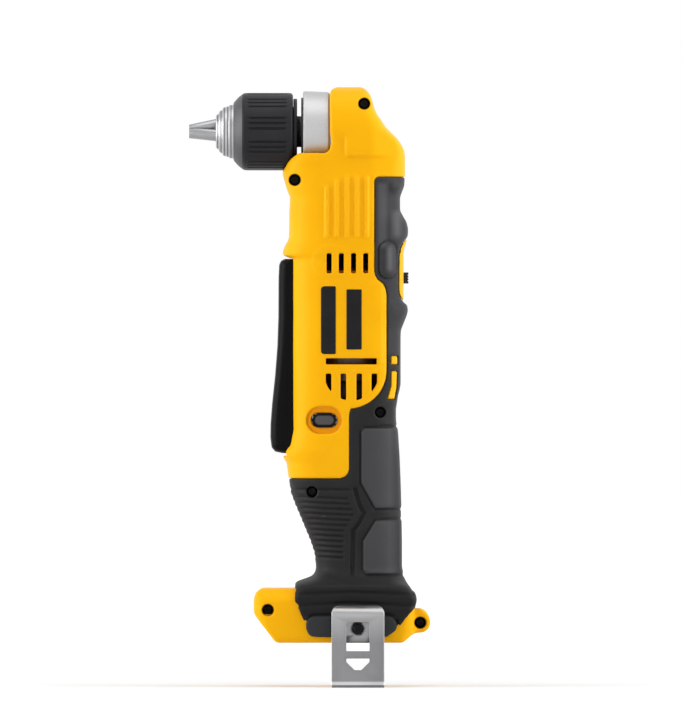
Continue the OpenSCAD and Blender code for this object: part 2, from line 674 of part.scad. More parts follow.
// Everything that is cut out of the two halves
module hollows() {
    $fn = 24;
    along_spindle() {
        translate([0, 0, -case_tail - seat_gap]) rotate_extrude() case_outline(seat_gap, 2 * seat_gap);
        translate([0, 0, head_front])
            cylinder(ring_front - head_front + seal_t, ring_r + seat_gap, ring_r + seat_gap);
        translate([0, 0, ring_front]) cylinder(sleeve_l * 2, sleeve_r + saddle_gap, sleeve_r + saddle_gap);
    }
    translate([0, 0, tube_h - seat_gap])
        cylinder(carrier_2_h - tube_h + 2 * plate_t, tube_r + seat_gap, tube_r + seat_gap);
    translate([0, 0, carrier_2_h])
        cylinder(spindle_h - carrier_2_h, neck_tube_r + seat_gap, neck_tube_r + seat_gap);
    translate([0, 0, cap_h - seat_gap]) cylinder(tube_h - cap_h, can_r + seat_gap, can_r + seat_gap);
    translate([-barrel_front * 2, -paddle_hw - paddle_gap, slot_bottom])
        cube([barrel_front * 2 - slot_depth, 2 * (paddle_hw + paddle_gap), slot_top - slot_bottom]);
    translate([-pivot_x, paddle_hw + plate_t, pivot_h]) rotate([90, 0, 0])
        cylinder(2 * (paddle_hw + plate_t), pivot_r + press_gap, pivot_r + press_gap);
    translate([-switch_front - seat_gap, -switch_hw - seat_gap, switch_low - seat_gap])
        cube([switch_front + switch_back + 2 * seat_gap, 2 * (switch_hw + seat_gap),
            switch_h + 2 * seat_gap]);
    translate([-slot_depth - over, 0, plunger_h]) rotate([0, 90, 0])
        cylinder(slot_depth - switch_front + 2 * over, plunger_r + run_gap, plunger_r + run_gap);
    translate([dir_x, 0, button_h]) {
        from_side(3 * barrel_hw, -1.5 * barrel_hw) rotate(90)
            slot_shape(button_w + 2 * run_gap, button_l + 2 * run_gap);
    }
    for (side = [-1, 1]) translate([dir_x, side * (side_y(dir_x, button_h) - dish_t / 2 + over), button_h])
        from_side(dish_t + 2 * over, -dish_t / 2 - over) rotate(90) slot_shape(dish_w, dish_l);
    translate([0, -fork_hw - seat_gap, shift_h - shift_travel - shift_w])
        cube([fork_out + seat_gap, shift_w + 2 * seat_gap,
            ring_2_top - shift_h + shift_travel + shift_w + plate_t]);
    translate([0, -fork_hw - run_gap, shift_h - shift_w / 2 - shift_travel - seat_gap])
        cube([2 * barrel_back, shift_w + 2 * run_gap, shift_w + shift_travel + 2 * seat_gap]);
    translate([-lens_front - over, 0, lens_h]) rotate([0, 90, 0])
        cylinder(lens_l + over + plate_t, lens_r + hole_gap, lens_r + hole_gap);
    battery_way();
    handle_room();
}

module battery_way() {
    translate([-2 * foot_front, -slide_hw, rail_h])
        cube([2 * foot_front + slide_end, 2 * slide_hw, slide_h - rail_h]);
    translate([-2 * foot_front, -rail_hw, -over])
        cube([2 * foot_front + slide_end, 2 * rail_hw, rail_h + 2 * over]);
    for (side = [-1, 1]) translate([hook_x, side * (hook_face + over), hook_screw_h])
        rotate([side * 90, 0, 0])
        cylinder(insert_l + over + seat_gap, insert_r + hole_gap, insert_r + hole_gap);
}

module handle_room() {
    difference() {
        intersection() {
            skin(core_shares, grip_t + wall);
            translate([-barrel_front, -barrel_hw, slide_h + wall])
                cube([2 * barrel_front, 2 * barrel_hw, switch_low - slide_h - wall]);
        }
        at_screws() cylinder(4 * screw_l, head_r + boss_wall, head_r + boss_wall, center = true);
    }
}

module window_shape(w, h) {
    r = min(w, h) / 6;
    hull() for (x = [-1, 1], y = [-1, 1]) translate([x * (w / 2 - r), y * (h / 2 - r)]) circle(r, $fn = 4);
}

module vents() {
    from_side(4 * barrel_hw, -2 * barrel_hw) {
        for (i = [0 : 3]) translate([vent_shift + (i - 1.5) * vent_pitch, vent_mid_h])
            window_shape(vent_w, vent_h);
        translate([0, slot_mid_h]) window_shape(slot_l, slot_h);
        translate([0, low_h]) intersection() {
            for (i = [0 : 3]) translate([(i - 1.5) * low_pitch - vent_w / 2, -low_r]) square([vent_w, low_r]);
            circle(low_r, $fn = 32);
        }
    }
}

module ribs() {
    for (i = [-2 : 2], side = [-1, 1]) let (x = vent_shift + i * rib_pitch, z = spindle_h * rib_share)
        translate([x, side * (side_y(x, z) - rib_w / 2 + mark_t / 2), z - rib_l / 2])
            cylinder(rib_l, rib_w / 2, rib_w / 2, $fn = 10);
}

module shell(side) {
    intersection() {
        half_space(side);
        difference() {
            union() {
                difference() {
                    skin(section_shares, 0);
                    grip_area(0);
                }
                skin(core_shares, grip_t);
                ribs();
                foot_block();
            }
            hollows();
            vents();
            at_screws() {
                translate([0, 0, -4 * screw_l])
                    cylinder(4 * screw_l + head_t, head_r + seat_gap, head_r + seat_gap, $fn = 16);
                cylinder(screw_l + head_t + seat_gap, screw_r + hole_gap, screw_r + hole_gap, $fn = 16);
            }
            plates(seat_gap, mark_t + over);
        }
    }
}

module housing_left() {
    color(yellow) shell(-1);
}

module housing_right() {
    color(yellow) shell(1);
}

// Slanting grooves over the front of the handle
module ridge_cuts() {
    difference() {
        intersection() {
            for (i = [0 : 11]) translate([-barrel_front, -2 * barrel_hw, foot_h + (i + 3.4) * ridge_pitch])
                rotate([0, 8, 0]) cube([barrel_front, 4 * barrel_hw, ridge_pitch / 3]);
            skin(core_shares, -over);
        }
        skin(core_shares, ridge_t);
    }
}

module rubber_half(side) {
    difference() {
        intersection() {
            half_space(side);
            skin(section_shares, 0);
            grip_area(grip_gap);
        }
        skin(core_shares, grip_t - grip_gap);
        foot_block();
        ridge_cuts();
        vents();
        for (p = screw_places) translate([p[0], 0, p[1]]) rotate([90, 0, 0])
            cylinder(3 * barrel_hw, head_r + seat_gap, head_r + seat_gap, $fn = 16);
        translate([dir_x, 0, button_h]) from_side(3 * barrel_hw, -1.5 * barrel_hw) rotate(90)
            slot_shape(dish_w, dish_l);
        battery_way();
    }
}

module grip_left() {
    color(rubber) rubber_half(-1);
}

module grip_right() {
    color(rubber) rubber_half(1);
}

module plates(gap, t) {
    for (x = [-plate_x, plate_x2]) let (z = plate_share * spindle_h, y = side_y(-plate_x, z))
        translate([x, 0, z]) from_side(t, mark_t - y - t)
            square([plate_w + 2 * gap, plate_l + 2 * gap], center = true);
}

module side_plates() {
    color(black) plates(0, mark_t);
}

// Gear case: outline on one side of the spindle, grown by a gap
module case_outline(gap, start) {
    polygon([[0, 0], [tail_r + 2 * plate_t + gap, 0], [tail_r + 2 * plate_t + gap, bush_l],
        [case_r + gap, case_tail + head_front / 2 - gap],
            [case_r + gap, case_tail + head_front + start + gap],
        [0, case_tail + head_front + start + gap]]);
}

module gear_case() {
    race_r = pinion_bearing_r + press_gap;
    bush_seat_r = tail_r + plate_t - tube_wall + press_gap;
    color(bright) difference() {
        union() {
            along_spindle() translate([0, 0, -case_tail]) rotate_extrude() case_outline(0, 0);
            translate([0, 0, carrier_2_h]) cylinder(spindle_h - carrier_2_h, neck_tube_r, neck_tube_r);
            translate([0, 0, carrier_2_h]) cylinder(plate_t, tube_r, tube_r);
        }
        along_spindle() {
            cylinder(head_front + over, case_r - tube_wall, case_r - tube_wall);
            translate([0, 0, bush_l + run_gap - case_tail])
                cylinder(case_tail, tail_r + 2 * plate_t - tube_wall, case_r - tube_wall);
            translate([0, 0, plate_t / 2 - case_tail])
                cylinder(case_tail, bush_seat_r, bush_seat_r);
            translate([0, 0, head_front]) cylinder(neck_tube_r, ring_r, ring_r);
        }
        translate([0, 0, carrier_2_h - over]) cylinder(pinion_bearing_h - carrier_2_h + over, race_r, race_r);
        translate([0, 0, carrier_2_h])
            cylinder(spindle_h - pinion_back - carrier_2_h, pinion_r + plate_t, pinion_r + plate_t);
        translate([0, 0, spindle_h - pinion_back - end_play])
            cylinder(pinion_back / 2, bevel_r2 + 2 * bevel_m, bevel_r2 + 2 * bevel_m);
    }
}

module nose_ring() {
    color(bright) along_spindle() difference() {
        rotate_extrude() polygon([[0, head_front + press_gap], [case_r, head_front + press_gap],
            [ring_r - end_play, head_front + end_play], [ring_r, ring_front - end_play],
            [ring_r - end_play, ring_front], [0, ring_front]]);
        translate([0, 0, head_front - over])
            cylinder(bearing_front - head_front + over, bearing_r + press_gap, bearing_r + press_gap);
        translate([0, 0, head_front - over]) cylinder(bearing_back - head_front + over, gear_r, gear_r);
        cylinder(ring_front + over, neck_r + end_play, neck_r + end_play);
    }
}

// One ball bearing as a shielded ring: groove in both faces
module bearing(r_out, r_in) {
    difference() {
        cylinder(bearing_w, r_out, r_out);
        translate([0, 0, -over]) cylinder(bearing_w + 2 * over, r_in, r_in);
        for (z = [-over, bearing_w - end_play]) translate([0, 0, z])
            tube((2 * r_out + r_in) / 3, (r_out + 2 * r_in) / 3, over + end_play);
    }
}

module front_bearing() {
    color(steel) along_spindle() translate([0, 0, bearing_back]) bearing(bearing_r, shaft_r + run_gap);
}

module rear_bush() {
    color(brass) along_spindle() translate([0, 0, plate_t / 2 + press_gap - case_tail])
        tube(tail_r + plate_t - tube_wall, tail_r + run_gap, bush_l);
}

module spindle_seal() {
    color(black) along_spindle() translate([0, 0, ring_front]) tube(seal_r, neck_r + run_gap, seal_t);
}

module spindle() {
    color(steel) along_spindle() difference() {
        union() {
            translate([0, 0, plate_t - case_tail]) cylinder(case_tail, tail_r, tail_r);
            cylinder(bearing_front + end_play, shaft_r, shaft_r);
            translate([0, 0, bearing_front + end_play])
                cylinder(neck_front - bearing_front - end_play, neck_r, neck_r);
            cylinder(neck_front + thread_l, thread_r, thread_r);
        }
        translate([0, 0, neck_front])
            cylinder(thread_l + over, hook_thread_r + press_gap, hook_thread_r + press_gap);
    }
}

// Section point of a bevel blank: reach from the pitch cone, share of the cone length
function cone_point(pr, angle, reach, part_share) =
    [(pr + reach * cos(angle)) * part_share, (cone_l * cos(angle) - reach * sin(angle)) * part_share];

module bevel_gear() {
    small_share = 1 - bevel_face / cone_l;
    color(steel) along_spindle() difference() {
        intersection() {
            translate([0, 0, gear_back]) rotate([180, 0, 180 / gear_teeth])
                linear_extrude(gear_back / 1.6, scale = 1 - 1 / 1.6)
                    polygon(bevel(gear_teeth, gear_angle, gear_back));
            rotate_extrude() polygon([
                cone_point(gear_r, gear_angle, 2 * bevel_m, 1),
                cone_point(gear_r, gear_angle, 2 * bevel_m, small_share),
                cone_point(gear_r, gear_angle, -2 * bevel_m, small_share),
                [0, cone_point(gear_r, gear_angle, -2 * bevel_m, small_share)[1]],
                [0, gear_back], [gear_r - 2 * bevel_m, gear_back],
                cone_point(gear_r, gear_angle, -2 * bevel_m, 1)]);
        }
        cylinder(gear_back + over, shaft_r + press_gap, shaft_r + press_gap);
    }
}

module bevel_pinion() {
    small_share = 1 - bevel_face / cone_l;
    angle = 90 - gear_angle;
    color(steel) translate([0, 0, spindle_h]) {
        intersection() {
            translate([0, 0, -pinion_back]) linear_extrude(pinion_back / 2, scale = 1 / 2)
                polygon(bevel(pinion_teeth, angle, pinion_back));
            mirror([0, 0, 1]) rotate_extrude() polygon([
                cone_point(bevel_r2, angle, 2 * bevel_m, 1),
                cone_point(bevel_r2, angle, 2 * bevel_m, small_share),
                cone_point(bevel_r2, angle, -root_share * bevel_m, small_share),
                [0, cone_point(bevel_r2, angle, -root_share * bevel_m, small_share)[1]],
                [0, pinion_back], [bevel_r2 - bevel_m, pinion_back],
                cone_point(bevel_r2, angle, -root_share * bevel_m, 1)]);
        }
        translate([0, 0, carrier_2_h - spindle_h + press_gap])
            cylinder(spindle_h - pinion_back - carrier_2_h + end_play, pinion_r, pinion_r);
    }
}

module pinion_bearing() {
    color(steel) translate([0, 0, pinion_bearing_h - bearing_w])
        bearing(pinion_bearing_r, pinion_r + run_gap);
}

module carrier(orbit, h, r) {
    translate([0, 0, h - plate_t]) cylinder(plate_t, r, r);
    for (a = [0 : 120 : 240]) rotate(a) translate([orbit, 0, h - plate_t - face_w])
        cylinder(face_w + over, pin_r, pin_r);
}

module output_carrier() {
    color(steel) carrier(orbit_2, carrier_2_h, carrier_2_r);
}

module first_carrier() {
    color(steel) difference() {
        union() {
            carrier(orbit_1, carrier_1_h, carrier_r);
            translate([0, 0, carrier_1_h - over]) linear_extrude(face_w + over)
                polygon(spur(sun_2, tooth_m, tip_share * tooth_m, root_share * tooth_m, tooth_play));
        }
        translate([0, 0, carrier_1_h - plate_t - over])
            cylinder(plate_t, motor_shaft_r + end_play, motor_shaft_r + end_play);
    }
}

module planet(teeth, orbit, top, a) {
    rotate(a) translate([orbit, 0, top - face_w]) difference() {
        linear_extrude(face_w) rotate(180 - 180 / teeth)
            polygon(spur(teeth, tooth_m, tip_share * tooth_m, root_share * tooth_m, tooth_play));
        translate([0, 0, -over]) cylinder(face_w + 2 * over, pin_r + run_gap, pin_r + run_gap);
    }
}

module planet_low_1() { color(steel) planet(planet_1, orbit_1, stage_1_h, 0); }
module planet_low_2() { color(steel) planet(planet_1, orbit_1, stage_1_h, 120); }
module planet_low_3() { color(steel) planet(planet_1, orbit_1, stage_1_h, 240); }
module planet_high_1() { color(steel) planet(planet_2, orbit_2, stage_2_h, 0); }
module planet_high_2() { color(steel) planet(planet_2, orbit_2, stage_2_h, 120); }
module planet_high_3() { color(steel) planet(planet_2, orbit_2, stage_2_h, 240); }

module ring_teeth_cut(h) {
    translate([0, 0, -over]) rotate(180 / ring_teeth) linear_extrude(h + 2 * over)
        polygon(spur(ring_teeth, tooth_m, root_share * tooth_m, tip_share * tooth_m, -tooth_play));
}

module ring_gear() {
    h = face_w - end_play;
    color(steel) translate([0, 0, floor_h]) difference() {
        cylinder(h, ring_out_r, ring_out_r);
        ring_teeth_cut(h);
    }
}

module shift_ring() {
    color(steel) translate([0, 0, ring_2_top - ring_2_h]) difference() {
        cylinder(ring_2_h, ring_out_r, ring_out_r);
        ring_teeth_cut(ring_2_h);
    }
}

module gearbox_tube() {
    color(black) translate([0, 0, tube_h]) difference() {
        cylinder(carrier_2_h - tube_h, tube_r, tube_r);
        translate([0, 0, plate_t]) cylinder(carrier_2_h - tube_h, tube_in_r, tube_in_r);
        translate([0, 0, -over])
            cylinder(plate_t + 2 * over, motor_shaft_r + end_play, motor_shaft_r + end_play);
        translate([0, -fork_hw - seat_gap, ring_2_top - ring_2_h - shift_travel - seat_gap - tube_h])
            cube([2 * tube_r, shift_w + 2 * seat_gap, ring_2_h + shift_travel + 2 * seat_gap]);
    }
}

// Fork on the back of the shift ring, with the button that stands out at the back
module shift_fork() {
    foot = shift_h - shift_w / 2;
    color(steel) difference() {
        translate([0, -fork_hw, 0]) {
            translate([fork_in, 0, foot]) cube([fork_t, shift_w, ring_2_top - foot]);
            translate([0, 0, ring_2_top - plate_t]) cube([fork_out, shift_w, plate_t]);
        }
        translate([0, 0, foot - over])
            cylinder(2 * spindle_h, ring_out_r + press_gap, ring_out_r + press_gap);
    }
}

module shift_button() {
    reach = back_at(share_at(shift_h)) + shift_out;
    color(black) translate([fork_out + press_gap, -fork_hw, shift_h - shift_w / 2]) difference() {
        cube([reach - fork_out, shift_w, shift_w]);
        for (z = [1 / 4, 1 / 2, 3 / 4])
            translate([reach - fork_out - end_play, -over, z * shift_w - end_play / 2])
            cube([over, shift_w + 2 * over, end_play]);
    }
}

module motor_can() {
    color(steel) translate([0, 0, can_h]) difference() {
        cylinder(can_l, can_r, can_r);
        translate([0, 0, -over]) cylinder(can_l + over - can_wall, can_r - can_wall, can_r - can_wall);
        cylinder(can_l + over, motor_shaft_r + plate_t, motor_shaft_r + plate_t);
        for (a = [0 : 60 : 300]) rotate(a) translate([can_r * port_share, 0, can_l / 2])
            cylinder(can_l, can_r / 6, can_r / 6);
    }
}

module magnets() {
    color(rubber) for (a = [0, 180]) rotate(a) translate([0, 0, can_h + cap_l / 2]) intersection() {
        tube(can_r - can_wall - press_gap, can_r - can_wall - magnet_t, can_l * core_l_share);
        translate([0, -can_r * magnet_share, -over]) cube([2 * can_r, 2 * can_r * magnet_share, can_l]);
    }
}

module rotor_core() {
    color(copper) translate([0, 0, can_h + cap_l / 2]) difference() {
        cylinder(can_l * core_l_share, rotor_r, rotor_r);
        translate([0, 0, -over]) cylinder(can_l, motor_shaft_r + press_gap, motor_shaft_r + press_gap);
        for (a = [0 : 60 : 300]) rotate(a) translate([rotor_r, -end_play, -over]) mirror([1, 0, 0])
            translate([-over, 0, 0]) cube([plate_t + over, 2 * end_play, can_l]);
    }
}

module motor_shaft() {
    color(steel) {
        translate([0, 0, cap_h + can_wall]) cylinder(floor_h - cap_h, motor_shaft_r, motor_shaft_r);
        translate([0, 0, floor_h + end_play]) linear_extrude(face_w - end_play / 2)
            polygon(spur(sun_1, tooth_m, tip_share * tooth_m, root_share * tooth_m, tooth_play));
    }
}

module commutator() {
    color(copper) translate([0, 0, can_h - cap_l * ring_end_share]) difference() {
        cylinder(cap_l * core_l_share, commutator_r, commutator_r);
        translate([0, 0, -over]) cylinder(cap_l, motor_shaft_r + press_gap, motor_shaft_r + press_gap);
        for (a = [0 : 30 : 330]) rotate(a) translate([commutator_r - end_play, -end_play / 4, -over])
            cube([over, end_play / 2, cap_l]);
    }
}

module cooling_fan() {
    hub = motor_shaft_r + plate_t;
    color(black) translate([0, 0, fan_top - fan_h]) difference() {
        union() {
            cylinder(fan_h, hub, hub);
            cylinder(can_wall, can_r - over, can_r - over);
            for (a = [0 : 30 : 330]) rotate(a) translate([hub - end_play, -end_play, 0])
                cube([can_r - hub - over, 2 * end_play, fan_h]);
        }
        translate([0, 0, -over])
            cylinder(fan_h + 2 * over, motor_shaft_r + press_gap, motor_shaft_r + press_gap);
    }
}

module end_bell() {
    color(black) translate([0, 0, cap_h]) difference() {
        union() {
            cylinder(cap_l - press_gap, can_r, can_r);
            translate([0, 0, cap_l - press_gap])
                cylinder(can_wall, can_r - can_wall - press_gap, can_r - can_wall - press_gap);
        }
        translate([0, 0, can_wall + end_play])
            cylinder(cap_l * 2, can_r - 2 * can_wall, can_r - 2 * can_wall);
        translate([0, 0, -over]) cylinder(cap_l, motor_shaft_r + run_gap, motor_shaft_r + run_gap);
        for (a = [0, 180]) rotate(a) translate([can_r / 2, -plate_t - press_gap, cap_l / 2 - press_gap])
            cube([can_r, 2 * (plate_t + press_gap), plate_t + 2 * press_gap]);
    }
}

module brushes() {
    color(rubber) for (a = [0, 180]) rotate(a)
        translate([commutator_r + run_gap, -plate_t, cap_h + cap_l / 2])
        cube([can_r - commutator_r - can_wall, 2 * plate_t, plate_t]);
}

module chuck_body() {
    low = neck_front;
    color(steel) along_spindle() difference() {
        rotate_extrude() polygon(concat(
            [[0, low], [chuck_r, low], [chuck_r, nut_back - seat_gap],
                [nut_in_r - plate_t / 3, nut_back - seat_gap],
                [nut_in_r - plate_t / 3, nut_back + nut_l + seat_gap],
                    [bevel_r - end_play * 2, nut_back + nut_l + seat_gap],
                [bevel_r - end_play * 2, sleeve_front]],
            [for (s = step_shares)
                [nose_r + (bevel_r - end_play * 2 - nose_r) * s[1], sleeve_front + nose_l * s[0]]],
            [[0, nose_front]]));
        translate([0, 0, low - over])
            cylinder(thread_l + over + end_play, thread_r + press_gap, thread_r + press_gap);
        translate([0, 0, low]) cylinder(nose_front, hook_thread_r + end_play, hook_thread_r + end_play);
        translate([0, 0, low + thread_l + plate_t]) cylinder(nose_front, bit_r, bit_r);
        for (a = [0 : 120 : 240]) rotate(a) jaw_way() translate([0, 0, -2 * jaw_l])
            cylinder(3 * jaw_l, jaw_r + run_gap, jaw_r + run_gap);
    }
}

// Frame on the axis of one jaw, at its tip
module jaw_way() {
    translate([jaw_mid_r, 0, jaw_tip]) rotate([0, -jaw_slope, 0]) children();
}

module jaw(a) {
    color(steel) along_spindle() rotate(a) intersection() {
        jaw_way() translate([0, 0, -jaw_l]) cylinder(jaw_l + jaw_r, jaw_r, jaw_r);
        translate([2 * jaw_gap / sqrt(3), 0, jaw_tip - 2 * jaw_l]) linear_extrude(2 * jaw_l)
            polygon([[0, 0], [jaw_l, jaw_l * tan(60)], [jaw_l, -jaw_l * tan(60)]]);
    }
}

module jaw_1() { jaw(0); }
module jaw_2() { jaw(120); }
module jaw_3() { jaw(240); }

module chuck_screw() {
    color(steel) along_spindle() translate([0, 0, neck_front + end_play]) {
        cylinder(thread_l + plate_t, hook_thread_r, hook_thread_r);
        translate([0, 0, thread_l + plate_t - end_play]) cylinder(head_t, bit_r - end_play, bit_r - end_play);
    }
}

module rear_collar() {
    color(black) along_spindle() translate([0, 0, neck_front]) tube(rear_r, chuck_r + press_gap, rear_t);
}

module chuck_sleeve() {
    color(black) along_spindle() difference() {
        rotate_extrude() polygon([[nut_r, sleeve_back], [sleeve_r - end_play * 2, sleeve_back],
            [sleeve_r, sleeve_back + end_play * 2], [sleeve_r, sleeve_front - bevel_l - end_play],
            [sleeve_r - end_play, sleeve_front - bevel_l], [bevel_r + end_play, sleeve_front],
            [bevel_r - end_play * 2 + run_gap, sleeve_front],
            [bevel_r - end_play * 2 + run_gap, nut_back + nut_l + seat_gap],
            [nut_r, nut_back + nut_l + seat_gap]]);
        for (a = [0 : 360 / flute_groups : 359], b = [-1, 0, 1]) rotate(flute_turn + a + b * flute_step)
            translate([sleeve_r + flute_t / 2, 0, sleeve_back + plate_t])
                cylinder(sleeve_l - bevel_l - 2 * plate_t, flute_t, flute_t, $fn = 12);
    }
}

module jaw_nut() {
    color(brass) along_spindle() translate([0, 0, nut_back]) tube(nut_r - press_gap, nut_in_r, nut_l);
}

module paddle() {
    back = -barrel_front + paddle_in;
    h = paddle_top - paddle_bottom;
    rim = paddle_gap * 8;
    color(black) difference() {
        union() {
            paddle_bar(back, h, rim);
            from_side(2 * paddle_hw, -paddle_hw) hull() {
                translate([-pivot_x, pivot_h]) circle(2 * pivot_r, $fn = 32);
                translate([back - paddle_in, pivot_h - 2 * pivot_r]) square([paddle_in, 4 * pivot_r]);
            }
        }
        translate([-pivot_x, 2 * paddle_hw, pivot_h]) rotate([90, 0, 0])
            cylinder(4 * paddle_hw, pivot_r + run_gap, pivot_r + run_gap);
    }
}

// Flat sides, with a bevel along the outer face
module paddle_bar(back, h, rim) {
    outer = [for (p = paddle_shares) [-barrel_front - p[1] * paddle_out, paddle_bottom + p[0] * h]];
    inner = [for (p = paddle_shares) [-barrel_front - p[1] * paddle_out + rim, paddle_bottom + p[0] * h]];
    from_side(2 * paddle_hw, -paddle_hw)
        polygon(concat(inner, [[back, paddle_top], [back, paddle_bottom]]));
    from_side(2 * paddle_hw - 2 * rim, rim - paddle_hw)
        polygon(concat(outer, [[back, paddle_top], [back, paddle_bottom]]));
}

module paddle_pin() {
    color(steel) translate([-pivot_x, paddle_hw + plate_t - seat_gap, pivot_h]) rotate([90, 0, 0])
        cylinder(2 * (paddle_hw + plate_t - seat_gap), pivot_r, pivot_r);
}

module switch_body() {
    color(black) difference() {
        translate([-switch_front, -switch_hw, switch_low])
            cube([switch_front + switch_back, 2 * switch_hw, switch_h]);
        translate([-switch_front - over, 0, plunger_h]) rotate([0, 90, 0])
            cylinder(2 * paddle_room + over, plunger_r + run_gap, plunger_r + run_gap);
    }
}

module switch_plunger() {
    color(bright) translate([-plunger_front, 0, plunger_h]) rotate([0, 90, 0])
        cylinder(plunger_front - switch_front + paddle_room, plunger_r, plunger_r);
}

module direction_button() {
    y = side_y(dir_x, button_h) - end_play;
    color(black) translate([dir_x, 0, button_h]) from_side(2 * y, -y) rotate(90)
        slot_shape(button_w, button_l);
}

module worklight_lens() {
    color([0.9, 0.92, 0.95]) translate([-lens_front + end_play, 0, lens_h]) rotate([0, 90, 0])
        cylinder(lens_l - end_play, lens_r, lens_r);
}

module worklight_led() {
    color(yellow) translate([-lens_front + lens_l + press_gap, 0, lens_h]) rotate([0, 90, 0])
        cylinder(plate_t - 2 * press_gap, lens_r - end_play, lens_r - end_play);
}

module terminal_block() {
    color(black) difference() {
        translate([slide_end / 2, seat_gap - slide_hw, rail_h + seat_gap])
            cube([slide_end / 2 - press_gap, 2 * (slide_hw - seat_gap), slide_h - rail_h - 2 * seat_gap]);
        for (y = [-2 : 2]) blade(y, press_gap);
    }
}

// One contact blade, grown by a gap where it sits in the block
module blade(y, gap) {
    translate([slide_end / 4, y * slide_hw / 3 - end_play - gap, rail_h + plate_t - gap])
        cube([slide_end / 2 + gap, 2 * (end_play + gap), slide_h - rail_h - 2 * plate_t + 2 * gap]);
}

module contact_blades() {
    color(brass) for (y = [-2 : 2]) blade(y, 0);
}

// Belt hook: tab on the foot, bend at the top, long arm with two windows and a flared lip
module belt_hook() {
    color(steel) translate([hook_x, 0, 0]) difference() {
        intersection() {
            union() {
                translate([-hook_w / 2, -hook_face - hook_t, press_gap])
                    cube([hook_w, hook_t, hook_bend_h - press_gap]);
                translate([-hook_w / 2, -hook_out - hook_t, lip_h - hook_low])
                    cube([hook_w, hook_t, hook_bend_h + hook_low - lip_h]);
                translate([-hook_w / 2, -hook_face - hook_t - hook_bend_r, hook_bend_h]) rotate([0, 90, 0])
                    difference() {
                        tube(hook_bend_r + hook_t, hook_bend_r, hook_w);
                        translate([0, -2 * hook_gap, -over])
                            cube([2 * hook_gap, 4 * hook_gap, hook_w + 2 * over]);
                    }
                translate([-hook_w / 2, 0, 0]) rotate([90, 0, 90]) linear_extrude(hook_w)
                    polygon([[-hook_out, lip_h - hook_low + hook_t / 2],
                        [-hook_out - hook_t, lip_h - hook_low + hook_t / 2],
                        [-hook_out - lip_h, hook_t / 2 - hook_low], [-hook_out - lip_h, -hook_low],
                        [hook_t / 2 - hook_out - lip_h, -hook_low],
                            [-hook_out, lip_h - hook_low - hook_t / 2]]);
            }
            from_side(2 * hook_out, -2 * hook_out) hull() {
                for (side = [-1, 1]) translate([side * (hook_w / 2 - hook_corner), hook_top - hook_corner])
                    circle(hook_corner, $fn = 32);
                translate([-hook_w / 2, -hook_low]) square([hook_w, hook_low]);
            }
        }
        translate([0, over - hook_face, hook_screw_h]) rotate([90, 0, 0])
            cylinder(hook_t + 2 * over, hook_thread_r + seat_gap, hook_thread_r + seat_gap);
        from_side(2 * hook_t, -hook_out - 1.5 * hook_t) {
            hull() for (side = [-1, 1]) {
                translate([side * (window_w / 2 - hook_t), window_top - hook_t]) circle(hook_t, $fn = 16);
                translate([side * (window_w / 4) - window_w / 4, window_top - window_l])
                    square([window_w / 2, hook_t]);
            }
            polygon([[-window_w / 2, -hook_bar_h], [window_w / 2, -hook_bar_h],
                [window_w / 2, -hook_bar_h - hook_t],
                [hook_t, -hook_bar_h - window_w / 2], [-hook_t, -hook_bar_h - window_w / 2],
                [-window_w / 2, -hook_bar_h - hook_t]]);
        }
    }
}

module hook_screw() {
    color(steel) translate([hook_x, -hook_face - hook_t, hook_screw_h]) rotate([90, 0, 0]) difference() {
        union() {
            cylinder(head_t, hook_head_r, hook_head_r);
            translate([0, 0, -insert_l])
                cylinder(insert_l + over, hook_thread_r - press_gap, hook_thread_r - press_gap);
        }
        translate([0, 0, head_t / 2]) cylinder(head_t, hook_head_r / 2, hook_head_r / 2, $fn = 6);
    }
}

module hook_inserts() {
    color(brass) for (side = [-1, 1]) translate([hook_x, side * hook_face, hook_screw_h])
        rotate([side * 90, 0, 0])
        tube(insert_r, hook_thread_r, insert_l);
}

module housing_screws() {
    color(steel) at_screws() difference() {
        union() {
            cylinder(head_t, head_r, head_r);
            translate([0, 0, head_t - end_play]) cylinder(screw_l + end_play, screw_r, screw_r);
        }
        translate([0, 0, -over]) cylinder(over + head_t / 2, head_r / 2, head_r / 2, $fn = 6);
    }
}

housing_left();
housing_right();
grip_left();
grip_right();
side_plates();
gear_case();
nose_ring();
front_bearing();
rear_bush();
spindle_seal();
spindle();
bevel_gear();
bevel_pinion();
pinion_bearing();
output_carrier();
first_carrier();
planet_low_1();
planet_low_2();
planet_low_3();
planet_high_1();
planet_high_2();
planet_high_3();
ring_gear();
shift_ring();
gearbox_tube();
shift_fork();
shift_button();
motor_can();
magnets();
rotor_core();
motor_shaft();
commutator();
cooling_fan();
end_bell();
brushes();
chuck_body();
jaw_1();
jaw_2();
jaw_3();
chuck_screw();
rear_collar();
chuck_sleeve();
jaw_nut();
paddle();
paddle_pin();
switch_body();
switch_plunger();
direction_button();
worklight_lens();
worklight_led();
terminal_block();
contact_blades();
belt_hook();
hook_screw();
hook_inserts();
housing_screws();
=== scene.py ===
import json
import math

